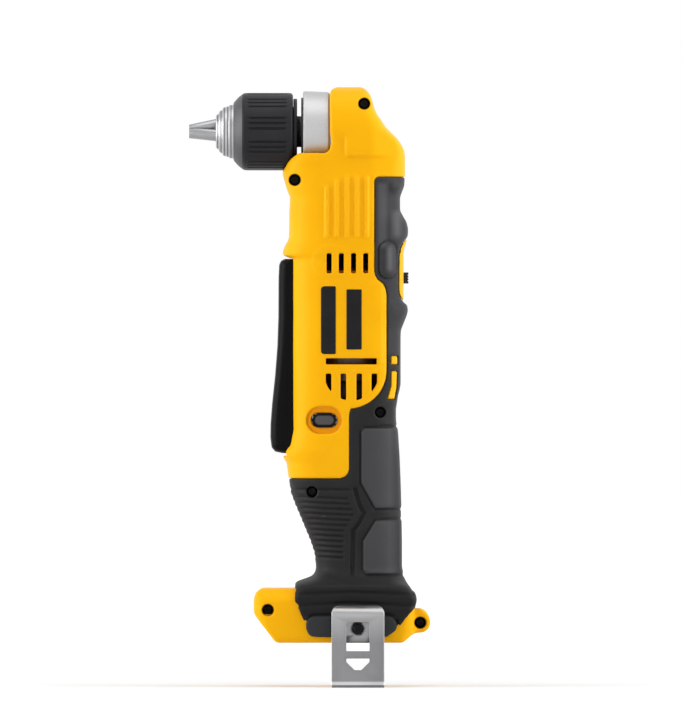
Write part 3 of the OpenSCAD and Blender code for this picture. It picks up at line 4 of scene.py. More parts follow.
import bpy
import numpy as np
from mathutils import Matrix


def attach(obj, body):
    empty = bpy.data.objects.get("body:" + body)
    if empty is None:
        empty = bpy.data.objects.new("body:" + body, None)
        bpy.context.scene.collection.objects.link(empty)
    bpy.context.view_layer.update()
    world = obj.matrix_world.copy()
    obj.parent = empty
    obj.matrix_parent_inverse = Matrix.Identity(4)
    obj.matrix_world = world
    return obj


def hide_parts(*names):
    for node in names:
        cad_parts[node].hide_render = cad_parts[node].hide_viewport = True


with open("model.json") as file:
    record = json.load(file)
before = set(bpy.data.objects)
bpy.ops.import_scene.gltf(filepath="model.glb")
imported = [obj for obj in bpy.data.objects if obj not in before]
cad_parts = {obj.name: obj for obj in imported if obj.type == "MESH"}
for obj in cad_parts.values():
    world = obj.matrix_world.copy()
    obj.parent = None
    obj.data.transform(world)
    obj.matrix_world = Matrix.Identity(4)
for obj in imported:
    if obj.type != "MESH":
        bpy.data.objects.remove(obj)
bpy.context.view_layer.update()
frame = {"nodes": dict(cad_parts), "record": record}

import openvdb
from mathutils import Vector

# Right angle drill, dressed on its CAD frame.
# Moulded pieces are drawn as distance fields in millimetres and meshed, so every edge gets its moulded round.
# Chuck along -X, motor axis along Z, halves meet at y = 0, near side is -Y.

nodes = frame["nodes"]
mm = 0.001


# field tools: distances in mm, negative inside

def softMax(a, b, k):
    h = np.maximum(k - np.abs(a - b), 0) / k
    return np.maximum(a, b) + h * h * k / 4


def softMin(a, b, k):
    return -softMax(-a, -b, k)


def smoothStep(x, low, high):
    t = np.clip((x - low) / (high - low), 0, 1)
    return t * t * (3 - 2 * t)


def fadeOut(x, low, high):
    return 1 - smoothStep(x, low, high)


def outlineField(points, xs, zs):
    # signed distance from a closed outline in the side view, on the x z grid
    gx, gz = np.meshgrid(xs, zs, indexing="ij")
    best = np.full(gx.shape, 1e9)
    inside = np.zeros(gx.shape, bool)
    for (x1, z1), (x2, z2) in zip(points, points[1:] + points[:1]):
        dx, dz = x2 - x1, z2 - z1
        t = np.clip(((gx - x1) * dx + (gz - z1) * dz) / (dx * dx + dz * dz + 1e-12), 0, 1)
        best = np.minimum(best, (gx - x1 - t * dx) ** 2 + (gz - z1 - t * dz) ** 2)
        if z1 != z2:
            crosses = (z1 > gz) != (z2 > gz)
            inside ^= crosses & (gx < (x2 - x1) * (gz - z1) / (z2 - z1) + x1)
    return np.where(inside, -1.0, 1.0) * np.sqrt(best)


def roundedField(points, r, xs, zs):
    # the same with round corners: the outline is drawn in by r and grown again
    drawnIn = []
    for before, here, after in zip(points[-1:] + points[:-1], points, points[1:] + points[:1]):
        (ax, az), (bx, bz) = [np.subtract(q, p) / math.dist(p, q) for p, q in ((before, here), (here, after))]
        inward = np.array([-az - bz, ax + bx]) / (1 + ax * bx + az * bz)
        drawnIn.append(tuple(np.array(here) + r * inward))
    return outlineField(drawnIn, xs, zs) - r


def slotField(x, z, cx, cz, halfLong, halfWide, upright=True):
    # stadium shape seen from the side
    along, across = (z - cz, x - cx) if upright else (x - cx, z - cz)
    return np.hypot(across, np.maximum(np.abs(along) - halfLong + halfWide, 0)) - halfWide


def windowField(x, z, cx, cz, halfX, halfZ, r):
    # upright rectangle with rounded corners, seen from the side
    return np.hypot(np.maximum(np.abs(x - cx) - halfX + r, 0), np.maximum(np.abs(z - cz) - halfZ + r, 0)) - r


def arc(cx, cz, r, start, end, count):
    return [(cx + r * math.cos(math.radians(a)), cz + r * math.sin(math.radians(a)))
            for a in np.linspace(start, end, count)]


def gridAxes(low, high, step):
    return [np.arange(a, b + step, step, dtype=np.float32) for a, b in zip(low, high)]


def spread(axes):
    return axes[0][:, None, None], axes[1][None, :, None], axes[2][None, None, :]


def carve(body, axes, low, high, field, k):
    # cut a field out of the body, worked out only where it can reach
    reach = 3.0
    parts = [slice(max(np.searchsorted(a, l - reach) - 1, 0), np.searchsorted(a, h + reach) + 1)
             for a, l, h in zip(axes, low, high)]
    x, y, z = spread([a[p] for a, p in zip(axes, parts)])
    body[tuple(parts)] = softMax(body[tuple(parts)], -field(x, y, z), k)


def boxField(low, high):
    mid = [(a + b) / 2 for a, b in zip(low, high)]
    half = [(b - a) / 2 for a, b in zip(low, high)]
    return lambda x, y, z: np.maximum(np.maximum(np.abs(x - mid[0]) - half[0], np.abs(y - mid[1]) - half[1]),
                                      np.abs(z - mid[2]) - half[2])


def newPiece(name, points, faces, ease=0):
    mesh = bpy.data.meshes.new(name)
    mesh.from_pydata((np.asarray(points) * mm).tolist(), [], faces)
    mesh.polygons.foreach_set("use_smooth", [True] * len(mesh.polygons))
    piece = bpy.data.objects.new(name, mesh)
    bpy.context.scene.collection.objects.link(piece)
    if ease:
        soften = piece.modifiers.new("soften", "SMOOTH")
        soften.factor = 0.5
        soften.iterations = ease
    return piece


def fieldMesh(name, body, axes, ease):
    # the zero surface of a field as one closed mesh
    step = float(axes[0][1] - axes[0][0])
    band = 3 * step
    grid = openvdb.FloatGrid(band)
    grid.copyFromArray(np.clip(body, -band, band).astype(np.float32))
    points, quads = grid.convertToQuads(0.0)
    points = points * step + np.array([a[0] for a in axes])
    return newPiece(name, points, quads.tolist(), ease)


# housing: profile tables as shares of the sizes below, height share first, above 1 a share of the dome

housing = {
    "spindleHeight": 275.6, "domeRise": 24.0, "barrelFront": 32.0, "barrelBack": 27.3, "barrelHalf": 26.0,
    "shelfFront": -11.3, "shelfHeight": 263.9, "shelfRound": 4.0, "shelfSoft": 1.5,
    "facetSlope": 0.5, "facetHeights": [275, 292], "facetFrom": [12.0, 9.5], "facetFade": (249.0, 251.5),
    "facetOff": 30.0, "facetSoft": 0.8, "baseShare": 0.013, "baseSoft": 1.0, "topSoft": 1.2,
    "leastShare": 0.02, "flankShares": (0.3, 0.62), "blur": 0.6, "blurSteps": 40, "fineStep": 0.1,
    "fineSpan": (-20, 320), "voxel": 0.6,
    "front": [
        (0.013, 0.72), (0.035, 0.775), (0.047, 0.828), (0.058, 0.875), (0.070, 0.913), (0.083, 0.944),
        (0.096, 0.944), (0.113, 0.935), (0.119, 0.910), (0.124, 0.780), (0.130, 0.640), (0.138, 0.590),
        (0.147, 0.575), (0.155, 0.580), (0.176, 0.606), (0.200, 0.675), (0.2235, 0.760), (0.247, 0.844),
        (0.270, 0.928), (0.292, 0.997), (0.3175, 1.028), (0.329, 1.047), (0.352, 1.072), (0.360, 1.120),
        (0.366, 1.144), (0.376, 1.144), (0.385, 1.063), (0.400, 1.030), (0.416, 1.000), (0.7525, 1.000),
        (0.757, 1.135), (0.7625, 1.141), (0.7735, 1.1125), (0.7835, 1.0625), (0.793, 1.030),
        (0.8345, 1.028), (0.871, 1.0125), (0.885, 1.0625), (0.905, 1.1125), (0.9215, 1.147), (0.940, 1.081),
        (0.950, 1.010), (0.956, 0.935), (0.966, 0.800), (0.975, 0.353), (1.797, 0.353), (1.9295, 0.330),
        (2, 0.24)],
    "back": [
        (0.013, 0.900), (0.035, 1.040), (0.047, 1.100), (0.058, 1.198), (0.070, 1.275), (0.0825, 1.297),
        (0.0945, 1.267), (0.105, 1.209), (0.1175, 1.117), (0.129, 1.059), (0.147, 1.018), (0.200, 1.018),
        (0.258, 1.007), (0.319, 0.989), (0.363, 0.971), (0.410, 0.941), (0.437, 0.908), (0.457, 0.908),
        (0.470, 0.930), (0.4825, 0.949), (0.4935, 0.978), (0.505, 1.000), (0.600, 1.000), (0.6115, 1.007),
        (0.627, 1.070), (0.6385, 1.117), (0.6495, 1.147), (0.660, 1.130), (0.668, 1.0586), (0.762, 1.0586),
        (0.772, 1.075), (0.785, 1.120), (0.800, 1.147), (0.811, 1.147), (0.823, 1.117), (0.8345, 1.048),
        (0.8455, 0.989), (0.871, 0.989), (0.882, 1.026), (0.8925, 1.070), (0.9145, 1.088), (0.951, 1.088),
        (0.964, 1.070), (0.976, 1.007), (0.987, 0.930), (0.999, 0.802), (1.1245, 0.692), (1.2656, 0.612),
        (1.39, 0.535), (1.5145, 0.4835), (1.664, 0.447), (1.797, 0.414), (1.9295, 0.337), (2, 0.238)],
    "side": [
        (0.013, 1.22), (0.105, 1.22), (0.113, 1.18), (0.119, 1.06), (0.125, 0.92), (0.132, 0.83),
        (0.145, 0.78), (0.155, 0.775), (0.200, 0.78), (0.250, 0.80), (0.300, 0.84), (0.360, 0.90),
        (0.420, 0.95), (0.500, 0.985), (0.560, 1.0), (0.800, 1.0), (0.880, 0.98), (0.950, 0.96), (1, 0.93),
        (1.1245, 0.92), (1.2656, 0.89), (1.39, 0.855), (1.5145, 0.80), (1.664, 0.71), (1.797, 0.58),
        (1.9295, 0.37), (2, 0.12)],
    "square": [
        (0.013, 14), (0.090, 14), (0.1175, 4), (0.138, 2.8), (0.300, 2.7), (0.420, 3), (0.880, 3),
        (0.930, 3.2), (0.970, 3.4), (1, 3.6), (2, 4)],
    "nose": [
        (0.013, 14), (0.090, 14), (0.1175, 4), (0.138, 2.8), (0.300, 2.7), (0.420, 3), (0.880, 3),
        (0.930, 3.4), (0.955, 5), (0.970, 12), (1, 16), (1.7, 16), (2, 8)],
}


def riseOf(share):
    h = housing
    return share * h["spindleHeight"] if share <= 1 else h["spindleHeight"] + (share - 1) * h["domeRise"]


def profileAt(table, zs):
    # table followed by straight lines, then blurred so that no crease shows between its rows
    step, steps = housing["fineStep"], housing["blurSteps"]
    fine = np.arange(*housing["fineSpan"], step)
    line = np.interp(fine, [riseOf(row[0]) for row in table], [row[1] for row in table])
    reach = np.arange(-steps, steps + 1) * step
    weight = np.exp(-0.5 * (reach / housing["blur"]) ** 2)
    line = np.convolve(np.pad(line, steps, mode="edge"), weight / weight.sum(), mode="valid")
    return np.interp(zs, fine, line).astype(np.float32)


def sectionSizes(zs):
    h = housing
    front = -h["barrelFront"] * profileAt(h["front"], zs)
    back = h["barrelBack"] * profileAt(h["back"], zs)
    side = h["barrelHalf"] * profileAt(h["side"], zs)
    return front, back, side, profileAt(h["square"], zs), profileAt(h["nose"], zs)


def skinField(axes):
    # outer skin of the whole housing: a squared ellipse at every height
    h = housing
    x, y, z = spread(axes)
    front, back, side, square, nose = [v[None, None, :] for v in sectionSizes(axes[2])]
    half = (back - front) / 2
    n = np.where(2 * x < front + back, nose, square)
    u = np.maximum(np.abs(x - (front + back) / 2) / half, h["leastShare"])
    v = np.maximum(np.abs(y) / side, h["leastShare"])
    un, vn = u ** (n - 1), v ** (n - 1)
    g = (un * u + vn * v) ** (1 / n)
    slope = g ** (1 - n) * np.hypot(un / half, vn / side)
    d = (g - 1) / slope
    tilt = np.gradient(d, float(axes[2][1] - axes[2][0]), axis=2)
    d = d / np.sqrt(1 + tilt * tilt)
    r = h["shelfRound"]
    overX, overZ = np.maximum(x - h["shelfFront"] + r, 0), np.maximum(h["shelfHeight"] + r - z, 0)
    d = softMax(d, r - np.hypot(overX, overZ), h["shelfSoft"])   # step of the collar
    facet = np.abs(y) - side + h["facetSlope"] * (x - np.interp(z, h["facetHeights"], h["facetFrom"]))
    facet = facet / math.hypot(1, h["facetSlope"]) - h["facetOff"] * fadeOut(z, *h["facetFade"])
    d = softMax(d, facet, h["facetSoft"])   # flat flanks behind the head
    return softMax(softMax(d, z - riseOf(2), h["topSoft"]), riseOf(h["baseShare"]) - z, h["baseSoft"])


screws = {  # x, z, depth of the head
    "places": [(-29.76, 249.4, 10.3), (7.55, 290.48, 8.1), (16.19, 124.1, 11.9), (-20.51, 81.3, 7.4),
               (-44.3, 17.7, 15.2), (37.8, 10.8, 10.13)],
    "headR": 3.15, "headHigh": 2.2, "rubberR": 2.95, "underRubber": (2, 3), "relief": 0.7, "rimSoft": 0.5,
    "shaftR": 1.85, "shaftSoft": 0.4, "long": 22.4, "postR": 4.0,
    # the well tone is painted shade in the screw wells
    "wellR": 3.3, "wideWellR": 4.4, "wellShadeTone": (40, 22, 6)}

direction = {  # oval hole of the direction button, in its dish
    "x": -13.9, "z": 119.9, "halfLong": 6.98, "halfWide": 3.78, "soft": 0.4, "tighter": 0.2, "tightTo": 12.0,
    "dishLong": 9.5, "dishWide": 7.3, "dishDeep": 1.3, "dishSoft": 0.9,
    # the dish tone is painted shade in the recess; the cap tone is the button's own face colour
    "dishShadeTone": (238, 152, 14), "dishRim": 0.2, "capLong": 5.0, "capWide": 2.4, "capTone": (84, 82, 82)}


# finishes: shared effects are node groups, every material sets its own values

def tone(r, g, b):
    # screen colour 0..255 as a scene colour
    shares = [c / 255 for c in (r, g, b)]
    return tuple(s / 12.92 if s < 0.0431 else ((s + 0.055) / 1.055) ** 2.4 for s in shares) + (1.0,)


def feed(tree, node, values):
    # inputs by name or number: an output is linked, a plain value is set
    for key, value in values.items():
        if isinstance(value, bpy.types.NodeSocket):
            tree.links.new(value, node.inputs[key])
        else:
            node.inputs[key].default_value = value


def newGroup(name, inputs, outputs):
    group = bpy.data.node_groups.new(name, "ShaderNodeTree")
    for label, value in inputs.items():
        socket = group.interface.new_socket(label, in_out="INPUT", socket_type="NodeSocketFloat")
        socket.default_value = value
    for label in outputs:
        group.interface.new_socket(label, in_out="OUTPUT", socket_type="NodeSocketFloat")
    return group, group.nodes.new("NodeGroupInput"), group.nodes.new("NodeGroupOutput")


def objectCoords(tree):
    return tree.nodes.new("ShaderNodeTexCoord").outputs["Object"]


def sideCoords(tree):
    parts = tree.nodes.new("ShaderNodeSeparateXYZ")
    feed(tree, parts, {"Vector": objectCoords(tree)})
    return [parts.outputs[axis] for axis in "XYZ"]


def noiseAt(tree, coords, scale, detail=3.0, rough=0.55):
    noise = tree.nodes.new("ShaderNodeTexNoise")
    feed(tree, noise, {"Vector": coords, "Scale": scale, "Detail": detail, "Roughness": rough})
    return noise.outputs["Fac"]


def mapRange(tree, value, fromMin, fromMax, toMin=0.0, toMax=1.0):
    span = tree.nodes.new("ShaderNodeMapRange")
    feed(tree, span, {"Value": value, "From Min": fromMin, "From Max": fromMax,
                      "To Min": toMin, "To Max": toMax})
    return span.outputs["Result"]


def mathOf(tree, operation, a, b=0.0):
    node = tree.nodes.new("ShaderNodeMath")
    node.operation = operation
    feed(tree, node, {0: a, 1: b})
    return node.outputs[0]


def mixTone(tree, mask, low, high):
    mix = tree.nodes.new("ShaderNodeMix")
    mix.data_type = "RGBA"
    feed(tree, mix, {"Factor": mask, "A": low, "B": high})
    return mix.outputs["Result"]


def bumpOf(tree, height, strength, distance):
    bump = tree.nodes.new("ShaderNodeBump")
    feed(tree, bump, {"Height": height, "Strength": strength, "Distance": distance * mm})
    return bump.outputs["Normal"]


def mouldGrainGroup():
    # fine spark-eroded grain, and slow flow marks from the mould
    group, start, end = newGroup("mouldGrain", {"Grain Scale": 900.0, "Flow Scale": 30.0}, ["Grain", "Flow"])
    coords = objectCoords(group)
    grain = noiseAt(group, coords, start.outputs["Grain Scale"], detail=2.0)
    flow = noiseAt(group, coords, start.outputs["Flow Scale"], detail=5.0)
    feed(group, end, {"Grain": grain, "Flow": mapRange(group, flow, fromMin=0.3, fromMax=0.7)})
    return group


def wearAndGrooveShadeGroup():
    # rubbed edges where the surface is sharpest, broken up by noise, and painted shade in the grooves
    inputs = {"From": 0.54, "To": 0.62, "Break Scale": 120.0}
    group, start, end = newGroup("wearAndGrooveShade", inputs, ["Wear", "Painted Groove Shade"])
    sharp = group.nodes.new("ShaderNodeNewGeometry").outputs["Pointiness"]
    edge = mapRange(group, sharp, start.outputs["From"], start.outputs["To"])
    patches = noiseAt(group, objectCoords(group), start.outputs["Break Scale"], detail=4.0)
    grooveShadeMask = mapRange(group, sharp, fromMin=0.49, fromMax=0.43)
    feed(group, end, {"Wear": mathOf(group, "MULTIPLY", edge, patches), "Painted Groove Shade": grooveShadeMask})
    return group


def brushedGroup():
    # long fine scratches, noise drawn out along one axis, and smudges
    inputs = {"Along X": 1.0, "Along Y": 1.0, "Along Z": 1.0, "Scale": 60.0}
    group, start, end = newGroup("brushed", inputs, ["Streak", "Smudge"])
    coords = objectCoords(group)
    drawn = group.nodes.new("ShaderNodeCombineXYZ")
    feed(group, drawn, {axis: start.outputs["Along " + axis] for axis in "XYZ"})
    stretch = group.nodes.new("ShaderNodeVectorMath")
    stretch.operation = "MULTIPLY"
    feed(group, stretch, {0: coords, 1: drawn.outputs["Vector"]})
    streak = noiseAt(group, stretch.outputs["Vector"], start.outputs["Scale"], detail=6.0, rough=0.7)
    feed(group, end, {"Streak": streak, "Smudge": noiseAt(group, coords, scale=55.0)})
    return group


mouldGrain, wearAndGrooveShade, brushed = mouldGrainGroup(), wearAndGrooveShadeGroup(), brushedGroup()


def placeGroup(tree, group, values):
    node = tree.nodes.new("ShaderNodeGroup")
    node.node_tree = group
    feed(tree, node, values)
    return node


def newMaterial(name):
    material = bpy.data.materials.new(name)
    material.use_nodes = True
    return material, material.node_tree, material.node_tree.nodes["Principled BSDF"]


def softEdge(tree, value, at, half=0.3):
    # 1 below a place in mm, 0 above it
    return mapRange(tree, value, (at + half) * mm, (at - half) * mm)


def ovalMask(tree, atX, atZ, halfLong, halfWide, nearOnly):
    # lying oval seen from the side, in mm
    x, y, z = sideCoords(tree)
    along = mathOf(tree, "ABSOLUTE", mathOf(tree, "SUBTRACT", x, atX * mm))
    along = mathOf(tree, "MAXIMUM", mathOf(tree, "SUBTRACT", along, (halfLong - halfWide) * mm))
    across = mathOf(tree, "SUBTRACT", z, atZ * mm)
    square = mathOf(tree, "ADD", *[mathOf(tree, "MULTIPLY", part, part) for part in (along, across)])
    mask = softEdge(tree, mathOf(tree, "POWER", square, 0.5), halfWide)
    return mathOf(tree, "MULTIPLY", mask, softEdge(tree, y, 0.0)) if nearOnly else mask


def rightOf(x):
    return -1.0, 0.0, -x


def leftOf(x):
    return 1.0, 0.0, x


def above(z):
    return 0.0, -1.0, -z


def below(z):
    return 0.0, 1.0, z


def paintLightAndShade(tree, color, paintedLightZones):
    # painted light and shade: areas with a lighter or darker tone, each inside all its lines: x share, z
    # share, offset in mm
    for lines, half, shade in paintedLightZones:
        x, y, z = sideCoords(tree)
        mask = 1.0
        for xShare, zShare, offset in lines:
            shares = mathOf(tree, "MULTIPLY", x, xShare), mathOf(tree, "MULTIPLY", z, zShare)
            inside = softEdge(tree, mathOf(tree, "ADD", *shares), offset, half)
            mask = mathOf(tree, "MULTIPLY", inside, mask)
        color = mixTone(tree, mask, color, tone(*shade))
    return color


def mouldedFinish(name, own):
    # plastic and rubber: two close tones, grain, rubbed edges, painted shade in grooves, zones of painted
    # light and shade, and ovals of their own tone, most of them painted shade
    look = {**mouldedLook, **own}
    material, tree, shader = newMaterial(name)
    grain = placeGroup(tree, mouldGrain, {"Grain Scale": look["grain"], "Flow Scale": look["flow"]})
    wear = placeGroup(tree, wearAndGrooveShade, {"From": look["worn"][0], "To": look["worn"][1]})
    first, second, rubbed, shaded = [tone(*shade) for shade in look["tones"]]
    color = mixTone(tree, grain.outputs["Flow"], first, second)
    for oval, shade in look["ovals"]:
        color = mixTone(tree, ovalMask(tree, *oval), color, tone(*shade))
    color = paintLightAndShade(tree, color, look["paintedLightZones"])
    # painted shade in the grooves, where the surface is hollow
    color = mixTone(tree, mathOf(tree, "MULTIPLY", wear.outputs["Painted Groove Shade"], look["grooveShadeAmount"]), color, shaded)
    color = mixTone(tree, mathOf(tree, "MULTIPLY", wear.outputs["Wear"], look["wear"]), color, rubbed)
    rough = mapRange(tree, grain.outputs["Flow"], 0.0, 1.0, *look["rough"])
    bump = bumpOf(tree, grain.outputs["Grain"], look["bump"], look["bumpHeight"])
    feed(tree, shader, {"Base Color": color, "Roughness": rough, "Normal": bump,
                        "Specular IOR Level": look["gloss"]})
    return material


def metalFinish(name, own):
    # metal: streaks or cast grain in tone and gloss, zones of painted light and shade, and rings of painted
    # shade
    look = {**metalLook, **own}
    material, tree, shader = newMaterial(name)
    along = {"Along " + axis: share for axis, share in zip("XYZ", look["along"])}
    streak = placeGroup(tree, brushed, {**along, "Scale": look["scale"]})
    wear = placeGroup(tree, wearAndGrooveShade, {"From": look["worn"][0], "To": look["worn"][1]})
    first, second, rubbed = [tone(*shade) for shade in look["tones"]]
    color = paintLightAndShade(tree, mixTone(tree, streak.outputs["Streak"], first, second), look["paintedLightZones"])
    for pitch, start, share, soft, shade in look["ringShade"]:   # painted shade of turned grooves along X
        forward = mathOf(tree, "SUBTRACT", sideCoords(tree)[0], start * mm)
        turn = mathOf(tree, "FRACT", mathOf(tree, "MULTIPLY", forward, 1 / (pitch * mm)))
        color = mixTone(tree, mapRange(tree, turn, share + soft, share - soft), color, tone(*shade))
    color = mixTone(tree, mathOf(tree, "MULTIPLY", wear.outputs["Wear"], look["wear"]), color, rubbed)
    rough = mapRange(tree, streak.outputs["Smudge"], 0.0, 1.0, *look["rough"])
    bump = bumpOf(tree, streak.outputs["Streak"], look["bump"], look["bumpHeight"])
    feed(tree, shader, {"Base Color": color, "Roughness": rough, "Normal": bump, "Metallic": look["metal"]})
    return material


# tones in order: first, second, rubbed edges, and for plastics the painted shade in grooves
mouldedLook = {"worn": (0.53, 0.6), "wear": 0.3, "grain": 1600.0, "flow": 45.0, "bump": 0.08,
               "bumpHeight": 0.2, "gloss": 0.06, "grooveShadeAmount": 0.3, "ovals": [], "paintedLightZones": []}
# ovals of the direction button: painted shade in its dish, with a small rim, and the button's own grey face
rim = direction["dishRim"]
dishShadeOval = direction["x"], direction["z"], direction["dishLong"] + rim, direction["dishWide"] + rim, False
capOval = direction["x"], direction["z"], direction["capLong"], direction["capWide"], False
# painted highlights and shade over one rubber colour, zone by zone
rubberPaintedLight = [
    ([rightOf(6.2), above(72.6), below(115.5), (-1.0, -0.552, -53.7)], 0.3, (68, 68, 70)),   # painted highlight on the upper pad
    ([rightOf(7.2), above(37.2), below(66.0), (-1.0, 0.596, 25.3)], 0.3, (68, 68, 70)),   # painted highlight on the lower pad
    ([rightOf(10.0), above(155.0)], 2.0, (54, 54, 56)),   # painted light on the back of the barrel
    ([rightOf(15.0), leftOf(19.6), above(213.0), below(247.5)], 1.2, (78, 78, 81)),   # painted highlight below the head
    # painted highlight on the knuckle under the head
    ([rightOf(23.2), leftOf(27.5), above(218.5), below(232.5)], 1.6, (84, 84, 86)),
    ([rightOf(20.0), leftOf(22.8), above(200.5), below(213.5)], 1.2, (88, 88, 90)),   # painted highlight on the thumb capsule
    ([rightOf(23.8), above(31.0), below(118.0)], 2.5, (40, 40, 42)),   # painted shade where the back turns away
    ([below(31.0)], 2.0, (28, 28, 29)),   # painted shade on the flange
    ([rightOf(-23.8), leftOf(25.0), above(3.0), below(14.2)], 0.6, (52, 54, 56)),   # painted light on the foot pad
]
plastics = {
    "yellow": {"tones": [(254, 186, 12), (251, 179, 9), (255, 222, 70), (214, 138, 8)], "grain": 1500.0,
               "flow": 25.0, "rough": (0.34, 0.44), "grooveShadeAmount": 0.35,
               "ovals": [(dishShadeOval, direction["dishShadeTone"])]},
    "rubber": {"tones": [(40, 40, 41), (33, 33, 34), (96, 96, 98), (8, 8, 9)], "worn": (0.52, 0.58),
               "wear": 0.4, "grain": 2200.0, "flow": 60.0, "rough": (0.46, 0.58), "bump": 0.14, "gloss": 0.12,
               "grooveShadeAmount": 0.9, "paintedLightZones": rubberPaintedLight},
    "black": {"tones": [(38, 38, 42), (30, 30, 34), (80, 80, 84), (12, 12, 13)], "rough": (0.34, 0.46),
              "gloss": 0.16, "grooveShadeAmount": 0.6},
    "lever": {"tones": [(13, 12, 14), (9, 9, 11), (50, 50, 54), (6, 6, 7)], "rough": (0.26, 0.36)},
    # the button's dark edge around its grey face is painted shade
    "button": {"tones": [(24, 22, 22), (18, 16, 17), (50, 50, 54), (6, 6, 7)], "wear": 0.1,
               "rough": (0.4, 0.5), "ovals": [(capOval, direction["capTone"])]},
    "plate": {"tones": [(30, 29, 30), (23, 22, 24), (60, 58, 58), (12, 12, 12)], "wear": 0.2, "grain": 2600.0,
              "flow": 80.0, "rough": (0.42, 0.55), "bump": 0.05, "gloss": 0.12, "grooveShadeAmount": 0.2},
}
for index, (sx, sz, depth) in enumerate(screws["places"]):   # painted shade in the screw wells of the near half
    r = screws["wideWellR" if index in screws["underRubber"] else "wellR"]
    plastics["yellow"]["ovals"].append(((sx, sz, r, r, True), screws["wellShadeTone"]))

metalLook = {"worn": (0.53, 0.6), "wear": 0.3, "along": (1.0, 1.0, 1.0), "scale": 300.0, "bump": 0.05,
             "bumpHeight": 0.1, "metal": 1.0, "paintedLightZones": [], "ringShade": []}
metals = {
    "steel": {"tones": [(132, 133, 135), (164, 165, 167), (225, 225, 226)], "wear": 0.4,
              "along": (0.15, 4.0, 4.0), "rough": (0.22, 0.34)},
    "hookSteel": {"tones": [(122, 122, 124), (136, 136, 137), (225, 225, 226)], "along": (4.0, 4.0, 0.15),
                  "rough": (0.26, 0.38), "bump": 0.04,
                  # painted light on the hook: a painted reflection lighter above the bend, a painted
                  # highlight on the lip, painted shade on its lower edge
                  "paintedLightZones": [([above(7.0)], 7.0, (158, 158, 159)), ([below(-20.7)], 0.4, (190, 190, 190)),
                            ([below(-22.4)], 0.2, (94, 94, 95))]},
    "noseSteel": {"tones": [(160, 160, 162), (190, 190, 192), (205, 205, 206)], "wear": 0.1,
                  "along": (5.0, 0.02, 0.02), "rough": (0.34, 0.44),
                  "ringShade": [(1.8, -73.5, 0.3, 0.1, (92, 92, 94))]},   # painted shade rings: pitch, start, share, softness
    # the motor can is toned darker than bare steel as painted shade inside the housing
    "shadedCanSteel": {"tones": [(74, 70, 66), (92, 88, 84), (160, 158, 156)], "along": (4.0, 4.0, 0.2),
                 "rough": (0.36, 0.48), "metal": 0.9},
    "bright": {"tones": [(176, 176, 177), (192, 192, 192), (230, 230, 230)], "scale": 900.0,
               "rough": (0.42, 0.55), "bump": 0.12, "metal": 0.75},
    "zinc": {"tones": [(116, 116, 116), (140, 140, 140), (215, 215, 215)], "wear": 0.4,
             "along": (6.0, 6.0, 0.12), "scale": 420.0, "rough": (0.32, 0.44), "bump": 0.06, "metal": 0.9},
    "brass": {"tones": [(188, 150, 84), (206, 170, 104), (230, 205, 150)], "wear": 0.2,
              "along": (4.0, 4.0, 0.3), "scale": 240.0, "rough": (0.28, 0.4), "bump": 0.04},
    "copper": {"tones": [(176, 96, 58), (200, 122, 78), (226, 160, 120)], "wear": 0.2,
               "along": (1.0, 1.0, 14.0), "scale": 160.0, "rough": (0.3, 0.42), "bump": 0.3},
    "darkSteel": {"tones": [(20, 20, 22), (32, 32, 34), (90, 90, 92)], "along": (3.0, 0.5, 3.0),
                  "rough": (0.34, 0.46), "metal": 0.9},
    "bevelRing": {"tones": [(68, 68, 70), (86, 86, 88), (180, 180, 180)], "scale": 1200.0,
                  "rough": (0.42, 0.55), "bump": 0.1, "metal": 0.5},
}
finish = {name: mouldedFinish(name, own) for name, own in plastics.items()}
finish.update({name: metalFinish(name, own) for name, own in metals.items()})

lensLook = {"grain": 700.0, "flow": 200.0, "tones": [(226, 230, 232), (240, 243, 244)], "rough": (0.05, 0.12),
            "clear": 0.6}


def lensFinish():
    material, tree, shader = newMaterial("lens")
    grain = placeGroup(tree, mouldGrain, {"Grain Scale": lensLook["grain"], "Flow Scale": lensLook["flow"]})
    tones = [tone(*shade) for shade in lensLook["tones"]]
    color = mixTone(tree, grain.outputs["Flow"], *tones)
    rough = mapRange(tree, grain.outputs["Grain"], 0.0, 1.0, *lensLook["rough"])
    feed(tree, shader, {"Base Color": color, "Roughness": rough, "Transmission Weight": lensLook["clear"]})
    return material


finish["lens"] = lensFinish()
print("finishes ready:", len(finish))


# housing halves: fields on one grid, y counted outward from the split plane

gridLow, gridHigh = (-56.0, -1.2, -1.2), (44.0, 34.0, 302.0)
axes = gridAxes(gridLow, gridHigh, housing["voxel"])
xs, zs = axes[0], axes[2]
gx, gy, gz = spread(axes)
x2, z2 = np.meshgrid(xs, zs, indexing="ij")
skin = skinField(axes)
sideHalf = sectionSizes(zs)[2][None, None, :]
flank = smoothStep(gy / sideHalf, *housing["flankShares"])   # 1 on the flat sides, 0 front and back
spindleZ = housing["spindleHeight"]

